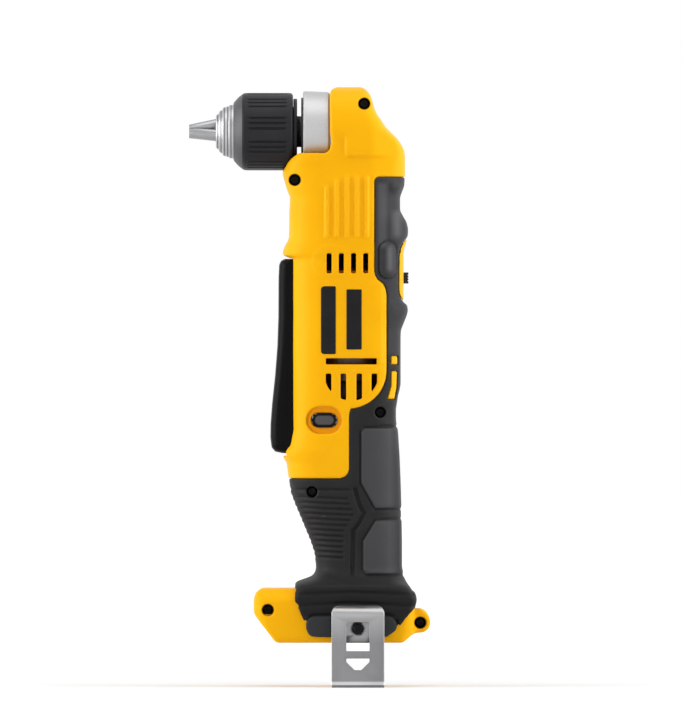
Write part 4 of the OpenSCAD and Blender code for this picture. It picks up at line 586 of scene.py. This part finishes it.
outline = {
    "grip": [(82, 251.1), (15.7, 251.1)] + arc(15.7, 248.4, 2.7, 90, 180, 5) +
            [(13.0, 200.4), (13.4, 198.0), (14.8, 195.6), (17.4, 193.6), (18.9, 191.2), (19.6, 187.6)] +
            arc(-1.09, 146.8, 20.7, 0, -86, 24) + [(-0.3, 124.0), (-0.55, 121.6)] +
            arc(-6.0, 94.06, 5.46, 0, -90, 9) + [(-64, 88.6), (-64, -30), (82, -30)],
    "pane": [(60, 218.9), (31.0, 218.0), (28.9, 216.0), (27.4, 212.8), (26.5, 208.6), (26.2, 200.0),
             (26.2, 190.2), (26.9, 187.0), (28.2, 184.8), (29.6, 183.4), (60, 182.4)],
    "upperBackVent": [(22.0, 154.3), (25.4, 154.3), (25.4, 150.1), (22.0, 150.1)],
    "lowerBackVent": [(22.2, 146.2), (25.2, 146.2), (24.9, 137.4), (23.8, 131.4), (20.2, 131.4),
                      (20.6, 133.2), (22.0, 137.6)],
    "upperPad": [(6.2, 113.4), (8.0, 115.2), (40, 116.2), (40, 72.6), (13.6, 72.6), (6.2, 86.0)],
    "lowerPad": [(7.2, 54.6), (13.4, 65.0), (40, 67.2), (40, 37.2), (9.4, 37.2), (7.2, 39.4)],
    "foot": [(-40.0, 0), (28.5, 0), (34.8, 5.5), (35.4, 10.8), (32.4, 26.8), (-16, 29.2), (-47.6, 29.2),
             (-51.0, 26.8), (-52.4, 23.4), (-52.4, 16.1)],
    "flange": [(-29.8, 30.8), (-30.8, 23.4), (-30.2, 20.7), (-27.8, 18.0), (-25.8, 13.3), (-24.5, 10.0),
               (-24.5, 4.6), (-22.4, 2.6), (-9.7, 1.9), (19.2, 2.6), (24.6, 6.6), (27.3, 9.3), (32.6, 16.0),
               (35.3, 19.0), (37.5, 27.0), (60, 31.0), (60, 330), (-60, 330), (-60, 31.0)],
}
area = {name: outlineField(points, xs, zs) for name, points in outline.items() if name != "foot"}

shellForm = {"lipSoft": 0.8, "barSink": 0.9, "barGrow": 0.4, "wall": 4.6, "roomFrom": 17.6, "roomTo": 95.5,
             "fanR": 17.97, "fanHalf": 0.62, "fanZ": 205.1, "fanReach": 5.55, "fanHigh": 1.0,
             "overlap": 0.04, "partingSoft": 0.8}
backVent = np.minimum(area["upperBackVent"], area["lowerBackVent"])
gripArea = softMax(np.maximum(area["grip"], -area["pane"]), -backVent, shellForm["lipSoft"])

ribs = {"xs": [-12.6, -7.2, -1.75, 3.65, 9.05], "low": 219.0, "tops": [245.0, 249.0, 250.5, 250.5, 250.5],
        "height": 1.1, "core": 0.1, "wall": (0.2, 1.4)}
headStep = {"x": -2.4, "z": 262.0, "height": 1.3, "round": 2.5, "wall": (-0.6, 0.6), "runOut": (2.0, 16.0),
            "fadeUp": (268.0, 276.0), "fadeRight": (12.0, 24.0)}
panels = {"height": 0.35, "vent": (-3.0, 205.4, 17.5, 8.6), "ventWall": (-0.7, 0.7), "ventFade": (-8.0, 4.0),
          "labelX": (-40, 17.4), "labelZ": 172.0, "labelHalf": 21.5, "labelWall": (-0.6, 0.6),
          "labelFade": (2.0, 14.0)}


def yellowLines():
    # raised and sunk lines of the yellow side faces, as heights in mm over the side view
    relief = np.zeros_like(x2)
    for ribX, top in zip(ribs["xs"], ribs["tops"]):
        ridge = slotField(x2, z2, ribX, (ribs["low"] + top) / 2, (top - ribs["low"]) / 2, ribs["core"])
        relief += ribs["height"] * fadeOut(ridge, *ribs["wall"])
    s = headStep
    edge = softMax(s["x"] - x2, s["z"] - z2, s["round"])
    step = s["height"] * smoothStep(edge, *s["wall"]) * fadeOut(edge, *s["runOut"])
    relief -= step * fadeOut(z2, *s["fadeUp"]) * fadeOut(x2, *s["fadeRight"])
    p = panels
    vent = slotField(x2, z2, *p["vent"], upright=False)
    relief += p["height"] * fadeOut(vent, *p["ventWall"]) * fadeOut(x2, *p["ventFade"])
    left, right = p["labelX"]
    label = np.maximum(np.maximum(x2 - right, left - x2), np.abs(z2 - p["labelZ"]) - p["labelHalf"])
    relief += p["height"] * fadeOut(label, *p["labelWall"]) * smoothStep(x2, *p["labelFade"])
    return relief


gripForm = {  # grooves: place, wall from and to, depth
    "pitch": 2.92, "top": 79.4, "ridges": 12, "depth": 0.95, "slant": -0.04, "slantFrom": -10.0, "fade": 0.1,
    "ends": [(37, -0.4), (60.3, 0.1), (64, 2.8), (69.6, 5.8), (74.3, 3.3), (82.2, 1.2)],
    "runOut": (-4.2, -2.4),
    "longGroove": (1.6, (0.8, 1.7), 1.3), "longFrom": (35.0, 38.0), "longTo": (82.6, 84.6),
    "topGroove": (82.6, (0.4, 1.0), 0.8), "topTo": (-1.5, 1.5), "padHeight": 0.7, "padWall": (-0.9, 0.3),
    "padGroove": (0.8, (0.3, 0.9), 0.7), "seam": (116.9, (0.25, 0.8), 0.45), "seamFrom": (14.0, 18.0),
    "knuckle": (24.6, 245.4), "knuckleHeight": 0.9, "knuckleWall": (1.0, 4.2),
    "folds": (27.2, 21.2), "foldSag": 0.04, "foldWall": (0.3, 1.6), "foldDepth": 0.7,
    "footPad": (0.6, 8.6, 24.4, 5.6), "footGroove": (0.9, (0.4, 1.1), 1.1), "footTo": (16.5, 18.0),
    "border": (0.4, 1.6)}
thumb = {"x": 20.2, "z": 206.25, "halfLong": 5.55, "halfWide": 4.3, "height": 1.9, "core": 0.01,
         "grooveAt": 0.4, "grooveWall": (0.2, 0.9), "grooveDepth": 0.6}   # capsule beside the shifter


def groove(distance, place, wall, depth):
    return depth * fadeOut(np.abs(distance - place), *wall)


def rubberLines():
    # raised and sunk lines of the rubber, the same way
    g, t = gripForm, thumb
    relief = np.zeros_like(x2)
    ridgeEnd = np.interp(z2, *zip(*g["ends"]))   # right end of the ridges
    lowest = g["top"] - g["ridges"] * g["pitch"]
    phase = (z2 - g["slant"] * (x2 - g["slantFrom"]) - lowest) / g["pitch"]
    inRidges = smoothStep(phase, -g["fade"], g["fade"])
    inRidges = inRidges * fadeOut(phase, g["ridges"] - g["fade"], g["ridges"] + g["fade"])
    inRidges = inRidges * fadeOut(x2 - ridgeEnd, *g["runOut"])
    relief -= g["depth"] * inRidges * (0.5 - 0.5 * np.cos(2 * math.pi * phase)) ** 2
    longGroove = groove(x2 - ridgeEnd, *g["longGroove"])
    relief -= longGroove * smoothStep(z2, *g["longFrom"]) * fadeOut(z2, *g["longTo"])
    relief -= groove(z2, *g["topGroove"]) * fadeOut(x2, *g["topTo"])
    for pad in (area["upperPad"], area["lowerPad"]):
        relief += g["padHeight"] * fadeOut(pad, *g["padWall"])
        relief -= groove(pad, *g["padGroove"])
    relief -= groove(z2, *g["seam"]) * smoothStep(x2, *g["seamFrom"])   # seam above the pads
    inThumb = slotField(x2, z2, t["x"], t["z"], t["halfLong"], t["core"])
    relief += t["height"] * np.sqrt(np.clip(1 - (inThumb / t["halfWide"]) ** 2, 0, 1))
    relief -= groove(inThumb, t["halfWide"] + t["grooveAt"], t["grooveWall"], t["grooveDepth"])
    fromKnuckle = np.hypot(x2 - g["knuckle"][0], z2 - g["knuckle"][1])
    relief += g["knuckleHeight"] * fadeOut(fromKnuckle, *g["knuckleWall"])   # under the head
    for fold in g["folds"]:
        relief -= groove(z2 + g["foldSag"] * np.abs(x2), fold, g["foldWall"], g["foldDepth"])
    footPad = slotField(x2, z2, *g["footPad"], upright=False)
    relief -= groove(footPad, *g["footGroove"]) * fadeOut(z2, *g["footTo"])
    return relief * smoothStep(-gripArea, *g["border"])


yellowRelief, rubberRelief = yellowLines()[:, None, :], rubberLines()[:, None, :]
print("relief drawn")


def roundBore(radius, x0, z0, along="y"):
    if along == "y":
        return lambda x, y, z: np.hypot(x - x0, z - z0) - radius + 0 * y
    if along == "z":
        return lambda x, y, z: np.hypot(x - x0, y) - radius + 0 * z
    return lambda x, y, z: np.hypot(y, z - z0) - radius + 0 * x


def both(first, second):
    return lambda x, y, z: np.maximum(first(x, y, z), second(x, y, z))


def cutRoom(body, low, high, soft, bore=None):
    # a box, or a bore that ends at the box
    field = boxField(low, high)
    carve(body, axes, low, high, both(roundBore(*bore), field) if bore else field, soft)


def cutThrough(body, flat, midX, halfX, low, high, soft):
    # a shape of the side view, cut right through the wall
    through = gridLow[1], gridHigh[1]
    carve(body, axes, (midX - halfX, through[0], low), (midX + halfX, through[1], high),
          lambda x, y, z: flat(x, z) + 0 * y, soft)


footForm = {"round": 4.0, "midX": -8.4, "halfX": 44.2, "halfY": 30.4, "cornerR": 9.6, "edgeSoft": 3.0,
            "planSoft": 2.0, "slopeZ": 22.9, "slope": 0.85, "slopeSoft": 1.2, "bossX": 22.0, "bossZ": 9.0,
            "bossLong": 15.8, "bossRise": 1.8, "bossR": 5.4, "bossHalfY": 23.2, "bossSoft": 2.0,
            "heel": (29.6, 13.0, 12.6, 5.2), "joinSoft": 1.5}


def footField():
    f = footForm
    side = roundedField(outline["foot"], f["round"], xs, zs)[:, None, :]
    outX = np.maximum(np.abs(gx - f["midX"]) - f["halfX"] + f["cornerR"], 0)
    outY = np.maximum(gy - f["halfY"] + f["cornerR"], 0)
    block = softMax(side, gy - f["halfY"], f["edgeSoft"])
    block = softMax(block, np.hypot(outX, outY) - f["cornerR"], f["planSoft"])
    upper = ((gy - f["halfY"]) + (gz - f["slopeZ"]) * f["slope"]) / math.hypot(1, f["slope"])
    block = softMax(block, upper, f["slopeSoft"])   # sloped upper edge
    t = np.clip((x2 - f["bossX"]) / f["bossLong"], 0, 1)
    boss = np.hypot(x2 - f["bossX"] - f["bossLong"] * t, z2 - f["bossZ"] - f["bossRise"] * t) - f["bossR"]
    boss = softMin(boss, slotField(x2, z2, *f["heel"], upright=False), f["joinSoft"])
    return softMin(block, softMax(boss[:, None, :], gy - f["bossHalfY"], f["bossSoft"]), f["joinSoft"])


gearRoom = {"low": (-12, 0, 254), "high": (13, 22, 297), "soft": 0.3, "front": 12.0, "back": 12.3,
            "forward": [-12.4, -8.1, 5.45, 11.8], "radius": [10.2, 10.2, 20.85, 20.85]}
rooms = {  # low corner, high corner, softness, and for bores radius, x, z and axis
    "noseRing": ((-26.5, -3, 253), (-11.2, 23, 298), 0.4, (22.15, 0, spindleZ, "x")),
    "noseMouth": ((-60, -3, 253), (-25.3, 23, 298), 1.2, (21.8, 0, spindleZ, "x")),
    "gearTube": ((-21, -3, 214.4), (21, 21, 244.7), 0.4, (20.5, 0, 0, "z")),
    "pinionBearing": ((-13, -3, 238.5), (13, 13, 275.6), 0.4, (12.65, 0, 0, "z")),
    "motor": ((-19, -3, 126.9), (19, 19, 214.7), 0.4, (18.25, 0, 0, "z")),
    "paddleBay": ((-60, -12.3, 100.6), (-21.6, 12.3, 207.2), 0.8),
    "paddlePin": ((-29, -3, 196), (-24, 15.0, 201), 0.4, (2.05, -26.6, 198.1, "y")),
    "switch": ((-17.2, -10.2, 95.3), (9.2, 10.2, 115.7), 0.4),
    "plunger": ((-23, -4, 102), (-16, 4, 109), 0.4, (3.1, 0, 105.5, "x")),
    "shiftFork": ((0, -3.2, 186.6), (22.3, 3.2, 241.3), 0.4),
    "shiftSlot": ((0, -3.08, 189.4), (60, 3.08, 199.8), 0.5),
    "worklight": ((-40, -4, 222), (-25.8, 4, 230), 0.5, (3.3, 0, 226.0, "x")),
    "packHead": ((-60, -21.5, 4.0), (27, 21.5, 15.0), 0.6),
    "packNeck": ((-60, -17.5, -9), (27, 17.5, 5.0), 0.6),
    "hookInsert": ((0, 23.6, 4), (8, 40, 11.2), 0.4, (3.45, 4.2, 7.6, "y")),
}
vents = {"upperX": [-11.3, -4.75, 1.85, 8.4], "upperZ": 204.5, "upperHalf": 5.45, "half": 1.4, "slotX": 0.6,
         "slotZ": 151.6, "slotHalf": 13.7, "slotWide": 1.65, "lowX": [-11.6, -3.6, 4.9, 13.0], "lowHalf": 1.5,
         "lowMid": 0.7, "lowZ": 145.0, "lowR": 14.6, "corner": 0.3, "soft": 0.5}


def gearRoomField(x, y, z):
    # turned outline along the spindle
    radius = np.interp(-x, gearRoom["forward"], gearRoom["radius"])
    around = np.hypot(y, z - spindleZ) - radius
    return np.maximum(np.maximum(around, -x - gearRoom["front"]), x - gearRoom["back"])


def directionHole(x, y, z):
    d = direction
    oval = slotField(x, z, d["x"], d["z"], d["halfLong"], d["halfWide"], upright=False)
    return oval + d["tighter"] * (y < d["tightTo"])


def cutVents(body):
    v = vents
    windows = [(x0, v["upperZ"], v["half"], v["upperHalf"]) for x0 in v["upperX"]]
    windows.append((v["slotX"], v["slotZ"], v["slotHalf"], v["slotWide"]))
    for x0, z0, halfX, halfZ in windows:
        cutThrough(body, lambda x, z: windowField(x, z, x0, z0, halfX, halfZ, v["corner"]), x0, halfX,
                   z0 - halfZ, z0 + halfZ, v["soft"])
    for x0 in v["lowX"]:   # cut off by a circle below
        cutThrough(body, lambda x, z: np.maximum(np.maximum(np.abs(x - x0) - v["lowHalf"], z - v["lowZ"]),
                                                 np.hypot(x - v["lowMid"], z - v["lowZ"]) - v["lowR"]),
                   x0, v["lowHalf"], v["lowZ"] - v["lowR"], v["lowZ"], v["soft"])


coatForm = {"thick": 2.0, "gap": 0.15, "edge": 1.26, "leastRelief": 0.4, "lapHalf": 31.6, "lapSoft": 1.2,
            "lapRise": 0.8, "lapRiseSoft": 0.8, "lapTop": 28.0, "lapTopSoft": 2.0, "lapFolds": (26.0, 30.0),
            "flangeSoft": 1.0, "press": 0.05, "partingSoft": 0.7,
            "dishGap": 0.3, "dishDeep": 3.0, "dishSoft": 0.5,
            "shiftSlot": ((0, -3.2, 189.3), (60, 3.2, 199.9), 0.4)}
foot = footField()
dishPlace = [direction[key] for key in ("x", "z", "dishLong", "dishWide")]
dish = slotField(x2, z2, *dishPlace, upright=False)[:, None, :]


def shellField():
    s, d = shellForm, direction
    lipped = softMax(skin - yellowRelief * flank, -gripArea[:, None, :], s["lipSoft"])
    shell = np.minimum(lipped, skin + coatForm["thick"])
    bars = softMax(skin + s["barSink"], backVent[:, None, :] - s["barGrow"], s["lipSoft"])
    shell = np.minimum(np.minimum(shell, bars), foot)   # bare bars behind the rubber
    shell = softMax(shell, -np.maximum(dish, -(skin + d["dishDeep"])), d["dishSoft"])
    room = np.maximum(np.maximum(skin + s["wall"], s["roomFrom"] - gz), gz - s["roomTo"])   # hollow handle
    for sx, sz, depth in screws["places"]:
        room = np.maximum(room, screws["postR"] - np.hypot(gx - sx, gz - sz))
    shell = np.maximum(shell, -room)
    carve(shell, axes, gearRoom["low"], gearRoom["high"], gearRoomField, gearRoom["soft"])
    for cut in rooms.values():
        cutRoom(shell, *cut)
    low = d["x"] - d["halfLong"], gridLow[1], d["z"] - d["halfWide"]
    high = d["x"] + d["halfLong"], gridHigh[1], d["z"] + d["halfWide"]
    carve(shell, axes, low, high, directionHole, d["soft"])
    cutVents(shell)
    fanWall = np.abs(np.hypot(gx, gy) - s["fanR"]) - s["fanHalf"]
    fanRibs = np.maximum(fanWall, np.abs(np.abs(gz - s["fanZ"]) - s["fanReach"]) - s["fanHigh"])
    shell = np.minimum(shell, fanRibs)   # ribs above and below the fan, inside
    return softMax(shell, -s["overlap"] - gy, s["partingSoft"])   # parting line


def coatField():
    c = coatForm
    relieved = skin - rubberRelief * (c["leastRelief"] + (1 - c["leastRelief"]) * flank)
    coat = softMax(relieved, gripArea[:, None, :] + c["gap"], c["edge"])
    flange = area["flange"][:, None, :]   # lower border of the rubber, lapping over the foot
    lap = softMax(flange + c["gap"], gy - c["lapHalf"], c["lapSoft"])
    lap = softMax(lap, skin - c["lapRise"], c["lapRiseSoft"])
    lap = softMax(lap, gz - c["lapTop"], c["lapTopSoft"])
    lap = lap - np.minimum(rubberRelief, 0) * smoothStep(gy, *c["lapFolds"])
    coat = np.minimum(softMax(coat, flange, c["flangeSoft"]), lap)
    coat = np.maximum(np.maximum(coat, c["press"] - (skin + c["thick"])), c["press"] - foot)
    coat = softMax(coat, -shellForm["overlap"] - gy, c["partingSoft"])
    coat = softMax(coat, -np.maximum(dish - c["dishGap"], -(skin + c["dishDeep"])), c["dishSoft"])
    cutRoom(coat, *c["shiftSlot"])
    return coat


shell, coat = shellField(), coatField()
print("fields drawn, grid", shell.shape)


def mirrored(piece):
    mesh = piece.data
    points = np.zeros(len(mesh.vertices) * 3)
    mesh.vertices.foreach_get("co", points)
    points = points.reshape(-1, 3) * np.array([1, -1, 1])
    mesh.vertices.foreach_set("co", points.ravel())
    mesh.flip_normals()
    return piece


def dress(piece, body, material, slot, *replaced):
    piece.data.materials.append(finish[material])
    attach(piece, body)
    if replaced:
        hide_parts(*replaced)
    return piece


def cutScrew(half, cover, side, index):
    # heads go in from the near side, threads end in the far one
    s = screws
    sx, sz, depth = s["places"][index]
    outer = gridHigh[1]
    if side < 0:
        seat = depth - s["headHigh"]
        low, high = (sx - s["headR"], seat, sz - s["headR"]), (sx + s["headR"], outer, sz + s["headR"])
        wide = roundBore(s["headR"] + s["relief"] * (index in s["underRubber"]), sx, sz)
        carve(half, axes, low, high, both(wide, lambda x, y, z: seat - y + 0 * x + 0 * z), s["rimSoft"])
        cutThrough(cover, lambda x, z: np.hypot(x - sx, z - sz) - s["rubberR"], sx, s["rubberR"],
                   sz - s["rubberR"], sz + s["rubberR"], s["rimSoft"])
    r, end = s["shaftR"], outer if side < 0 else s["long"] - depth
    cutRoom(half, (sx - r, gridLow[1], sz - r), (sx + r, end, sz + r), s["shaftSoft"], (r, sx, sz))


for side, label in ((-1, "left"), (1, "right")):
    half, cover = shell.copy(), coat.copy()
    for index in range(len(screws["places"])):
        cutScrew(half, cover, side, index)
    yellowHalf = fieldMesh("housing" + label.capitalize(), half, axes, ease=1)
    rubberHalf = fieldMesh("grip" + label.capitalize(), cover, axes, ease=1)
    if side < 0:
        mirrored(yellowHalf)
        mirrored(rubberHalf)
    dress(yellowHalf, "housing", "yellow", "yellow", "housing_" + label)
    dress(rubberHalf, "housing", "rubber", "rubber", "grip_" + label)
    print("half", label, len(yellowHalf.data.polygons), len(rubberHalf.data.polygons), "faces")


# blank plates on the near side, lying on the skin

plates = {  # middle x, half width, middle z, half length
    "places": [(-11.7, 4.1, 173.75, 18.35), (2.2, 4.2, 174.15, 16.3)], "corner": 0.5, "leftCorner": 1.8,
    "gridLow": (-17.0, 20.0, 154.6), "gridHigh": (7.0, 29.0, 194.0), "voxel": 0.35,
    "rise": 0.35, "sink": 0.9, "edge": 0.5, "backEdge": 0.2}
plateAxes = gridAxes(plates["gridLow"], plates["gridHigh"], plates["voxel"])


def platesField():
    p = plates
    plateSkin = skinField(plateAxes)
    x, z = np.meshgrid(plateAxes[0], plateAxes[2], indexing="ij")
    (cx, hw, cz, hl), second = p["places"]
    corner = np.where(x < cx, p["leftCorner"], p["corner"])   # only the left corners of the first are round
    flat = np.minimum(windowField(x, z, cx, cz, hw, hl, corner),
                      windowField(x, z, second[0], second[2], second[1], second[3], p["corner"]))
    upper = softMax(plateSkin - p["rise"], flat[:, None, :], p["edge"])
    return softMax(upper, -(plateSkin + p["sink"]), p["backEdge"])


sidePlates = mirrored(fieldMesh("sidePlates", platesField(), plateAxes, ease=1))
dress(sidePlates, "housing", "plate", "black", "side_plates")


# paddle: side outline with a well rounded outer edge

paddle = {
    "halfWide": 12.0, "back": -29.0, "low": 102.0, "high": 206.9, "front": 32.0, "reach": 11.04,
    "round": 7.0, "backRound": 1.2, "roundFrom": (30.0, 36.0), "pinX": -26.6, "pinZ": 198.1, "pinR": 2.06,
    "lugR": 4.0, "lugX": -28.5, "lugHalf": 2.0, "lugSoft": 0.8,
    "gridLow": (-46.0, -13.5, 100.0), "gridHigh": (-20.0, 13.5, 209.0), "voxel": 0.5,
    "shape": [(0, 0.40), (0.008, 0.76), (0.03, 0.94), (0.08, 1), (0.15, 0.99), (0.25, 0.92), (0.4, 0.77),
              (0.55, 0.66), (0.7, 0.61), (0.9, 0.6), (0.97, 0.57), (0.99, 0.48), (1, 0.30)]}
paddleAxes = gridAxes(paddle["gridLow"], paddle["gridHigh"], paddle["voxel"])


def paddleField():
    p = paddle
    rise = p["high"] - p["low"]
    edge = [(-p["front"] - reach * p["reach"], p["low"] + share * rise) for share, reach in p["shape"]]
    edge += [(p["back"], p["high"]), (p["back"], p["low"])]
    flat = outlineField(edge, paddleAxes[0], paddleAxes[2])[:, None, :]
    x, y, z = spread(paddleAxes)
    across = np.abs(y) - p["halfWide"]
    outward = smoothStep(-x, *p["roundFrom"])
    bar = softMax(flat, across, p["round"]) * outward + softMax(flat, across, p["backRound"]) * (1 - outward)
    fromPin = np.hypot(x - p["pinX"], z - p["pinZ"])
    strap = np.maximum(np.abs(x - p["lugX"]) - p["lugHalf"], np.abs(z - p["pinZ"]) - p["lugR"])
    lug = np.maximum(np.minimum(fromPin - p["lugR"], strap), across)
    return np.maximum(softMin(np.maximum(bar, across), lug, p["lugSoft"]), p["pinR"] - fromPin)


dress(fieldMesh("paddle", paddleField(), paddleAxes, ease=2), "paddle", "lever", "black", "paddle")
print("paddle and plates made")


# chuck sleeve: turned outline with groups of flutes, and the grey bevel in front

sleeve = {  # radius, distance forward
    "outline": [(17.02, 30.8), (19.5, 30.8), (20.3, 31.2), (20.75, 31.8), (20.9, 32.8)] +
               [(20.9, u) for u in np.linspace(33.6, 55.6, 23)] +
               [(20.85, 56.5), (20.65, 57.4), (20.3, 58.0), (20.0, 58.3), (19.6, 58.9), (19.0, 59.7),
                (18.2, 60.6), (17.3, 61.4), (16.5, 62.1), (15.9, 62.6), (15.4, 62.9), (14.66, 62.9),
                (14.66, 59.3), (17.02, 59.3)],
    "groups": 10, "first": -12.0, "flutes": (-8.0, 0.0, 8.0), "wall": (0.6, 2.0), "depth": 0.75,
    "start": (33.4, 35.0), "end": (54.0, 55.6), "outsideFrom": 20.7, "bevelFrom": 58.2, "bevelR": 15.0,
    "segments": 720, "sharp": 50}


def turned(name, outline, segments, deform):
    # closed outline turned about the spindle axis
    angles = np.linspace(0, 2 * math.pi, segments, endpoint=False)[:, None]
    count = len(outline)
    r, u = [np.array(part)[None, :].repeat(segments, 0) for part in zip(*outline)]
    r = deform(r, u, angles)
    points = np.stack([-u, r * np.cos(angles), spindleZ + r * np.sin(angles)], axis=-1).reshape(-1, 3)
    faces = [(i * count + j, i * count + (j + 1) % count,
              (i + 1) % segments * count + (j + 1) % count, (i + 1) % segments * count + j)
             for i in range(segments) for j in range(count)]
    return newPiece(name, points, faces)


def flutes(r, u, angle):
    s = sleeve
    degrees = np.degrees(angle) - s["first"] - 180.0
    cell = (degrees + 180.0 / s["groups"]) % (360.0 / s["groups"]) - 180.0 / s["groups"]
    near = np.min([np.abs(cell - f) for f in s["flutes"]], axis=0)
    sunk = s["depth"] * fadeOut(near, *s["wall"]) * smoothStep(u, *s["start"]) * fadeOut(u, *s["end"])
    return r - np.where(r > s["outsideFrom"], sunk, 0)


chuckSleeve = turned("chuckSleeve", sleeve["outline"], sleeve["segments"], flutes)
dress(chuckSleeve, "sleeve", "black", "black", "chuck_sleeve")
chuckSleeve.data.materials.append(finish["bevelRing"])
for face in chuckSleeve.data.polygons:
    x, y, z = face.center / mm
    if -x > sleeve["bevelFrom"] and math.hypot(y, z - spindleZ) > sleeve["bevelR"]:
        face.material_index = 1
chuckSleeve.data.set_sharp_from_angle(angle=math.radians(sleeve["sharp"]))
print("chuck sleeve made")


# solids kept from the frame: finish, smooth shading and a small broken edge

kept = {
    "finish": {"belt_hook": "hookSteel", "housing_screws": "darkSteel", "hook_screw": "darkSteel",
               "chuck_body": "noseSteel", "motor_can": "shadedCanSteel", "direction_button": "button"},
    "broken": {"belt_hook": 0.35, "shift_button": 0.5, "direction_button": 0.15, "nose_ring": 0.4,
               "chuck_body": 0.15, "jaw_1": 0.2, "jaw_2": 0.2, "jaw_3": 0.2, "hook_screw": 0.25,
               "housing_screws": 0.2, "rear_collar": 0.4, "spindle_seal": 0.2, "terminal_block": 0.3,
               "contact_blades": 0.15, "motor_can": 0.3, "worklight_lens": 0.3},
    "weld": 0.01, "rimSegments": 2, "rimAngle": 40, "sharp": 32}
slots = {s["node"]: s["material_slot"] for s in frame["record"]["subparts"]}
for name, part in nodes.items():
    if part.hide_render:
        continue
    part.data.materials.clear()
    part.data.materials.append(finish[kept["finish"].get(name, slots[name])])
    part.data.polygons.foreach_set("use_smooth", [True] * len(part.data.polygons))
    weld = part.modifiers.new("weld", "WELD")
    weld.merge_threshold = kept["weld"] * mm
    if name in kept["broken"]:
        rim = part.modifiers.new("rim", "BEVEL")
        rim.width = kept["broken"][name] * mm
        rim.segments = kept["rimSegments"]
        rim.limit_method = "ANGLE"
        rim.angle_limit = math.radians(kept["rimAngle"])
        rim.use_clamp_overlap = True
        rim.harden_normals = True
    part.data.set_sharp_from_angle(angle=math.radians(kept["sharp"]))
print("frame solids dressed")


# studio: pale floor, soft boxes on both sides, weak fill in front

studio = {"floorZ": -0.0238, "floorHalf": 12.0, "middle": Vector((-0.0049, 0, 0.1542)), "distance": 10.0,
          "farEnd": 50.0, "fieldHigh": 0.385, "skyLevel": 0.44, "white": (1, 1, 1, 1),
          "paperTones": [(227, 227, 227), (230, 230, 230)],
          "paperGrain": {"Grain Scale": 400.0, "Flow Scale": 3.0}, "paperRough": 0.9,
          "paperGlow": (0.12, 0.7), "glowReach": (0.1, 1.8)}
lamps = {  # place, aim, size, power
    "softLeft": ((-1.15, -0.2, 0.4), (0, 0, 0.16), (0.9, 1.3), 13.2),
    "softRight": ((1.15, -0.2, 0.45), (0, 0, 0.16), (0.9, 1.3), 13.0),
    "softTop": ((0.0, -0.2, 1.3), (0, 0, 0.16), (1.2, 0.9), 4.6),
    "fillFront": ((-0.2, -1.7, 0.4), (0, 0, 0.15), (1.4, 1.4), 2.0)}
scene = bpy.context.scene
scene.view_settings.view_transform = "Standard"
for name, (place, aim, size, power) in lamps.items():
    data = bpy.data.lights.new(name, "AREA")
    data.shape = "RECTANGLE"
    data.size, data.size_y = size
    data.energy = power
    light = bpy.data.objects.new(name, data)
    light.location = place
    light.rotation_euler = (Vector(aim) - Vector(place)).to_track_quat("-Z", "Y").to_euler()
    scene.collection.objects.link(light)


def seenDirectly(tree):
    # 1 for rays from the camera, and for those that a mirror or a lens sends on
    rays = tree.nodes.new("ShaderNodeLightPath").outputs
    polished = mathOf(tree, "MAXIMUM", rays["Is Glossy Ray"], rays["Is Transmission Ray"])
    return mathOf(tree, "MAXIMUM", rays["Is Camera Ray"], polished)


world = bpy.data.worlds.new("studioWorld")
world.use_nodes = True
scene.world = world
worldTree = world.node_tree
sky = worldTree.nodes["Background"]
level = mapRange(worldTree, seenDirectly(worldTree), 0.0, 1.0, studio["skyLevel"], 1.0)
feed(worldTree, sky, {"Color": studio["white"], "Strength": level})


def paperFinish():
    material, tree, shader = newMaterial("paper")
    grain = placeGroup(tree, mouldGrain, studio["paperGrain"])
    tones = [tone(*shade) for shade in studio["paperTones"]]
    away = tree.nodes.new("ShaderNodeVectorMath")
    away.operation = "LENGTH"
    feed(tree, away, {0: objectCoords(tree)})
    # the glow is weak near the drill, so that its shadow stays
    glow = mapRange(tree, away.outputs["Value"], *studio["glowReach"], *studio["paperGlow"])
    feed(tree, shader, {"Base Color": mixTone(tree, grain.outputs["Flow"], *tones),
                        "Roughness": studio["paperRough"], "Emission Color": studio["white"],
                        "Emission Strength": mathOf(tree, "MULTIPLY", seenDirectly(tree), glow)})
    return material


half, height = studio["floorHalf"], studio["floorZ"]
floorMesh = bpy.data.meshes.new("floor")
floorMesh.from_pydata([(half * x, half * y, height) for x, y in ((-1, -1), (1, -1), (1, 1), (-1, 1))], [],
                      [(0, 1, 2, 3)])
floorMesh.materials.append(paperFinish())
floor = bpy.data.objects.new("floor", floorMesh)
scene.collection.objects.link(floor)

cameraData = bpy.data.cameras.new("camera")
cameraData.lens = cameraData.sensor_width * studio["distance"] / studio["fieldHigh"]
cameraData.clip_end = studio["farEnd"]
camera = bpy.data.objects.new("camera", cameraData)
camera.location = studio["middle"] + Vector((0, -studio["distance"], 0))
camera.rotation_euler = (math.radians(90), 0, 0)
scene.collection.objects.link(camera)
scene.camera = camera

print("scene ready")
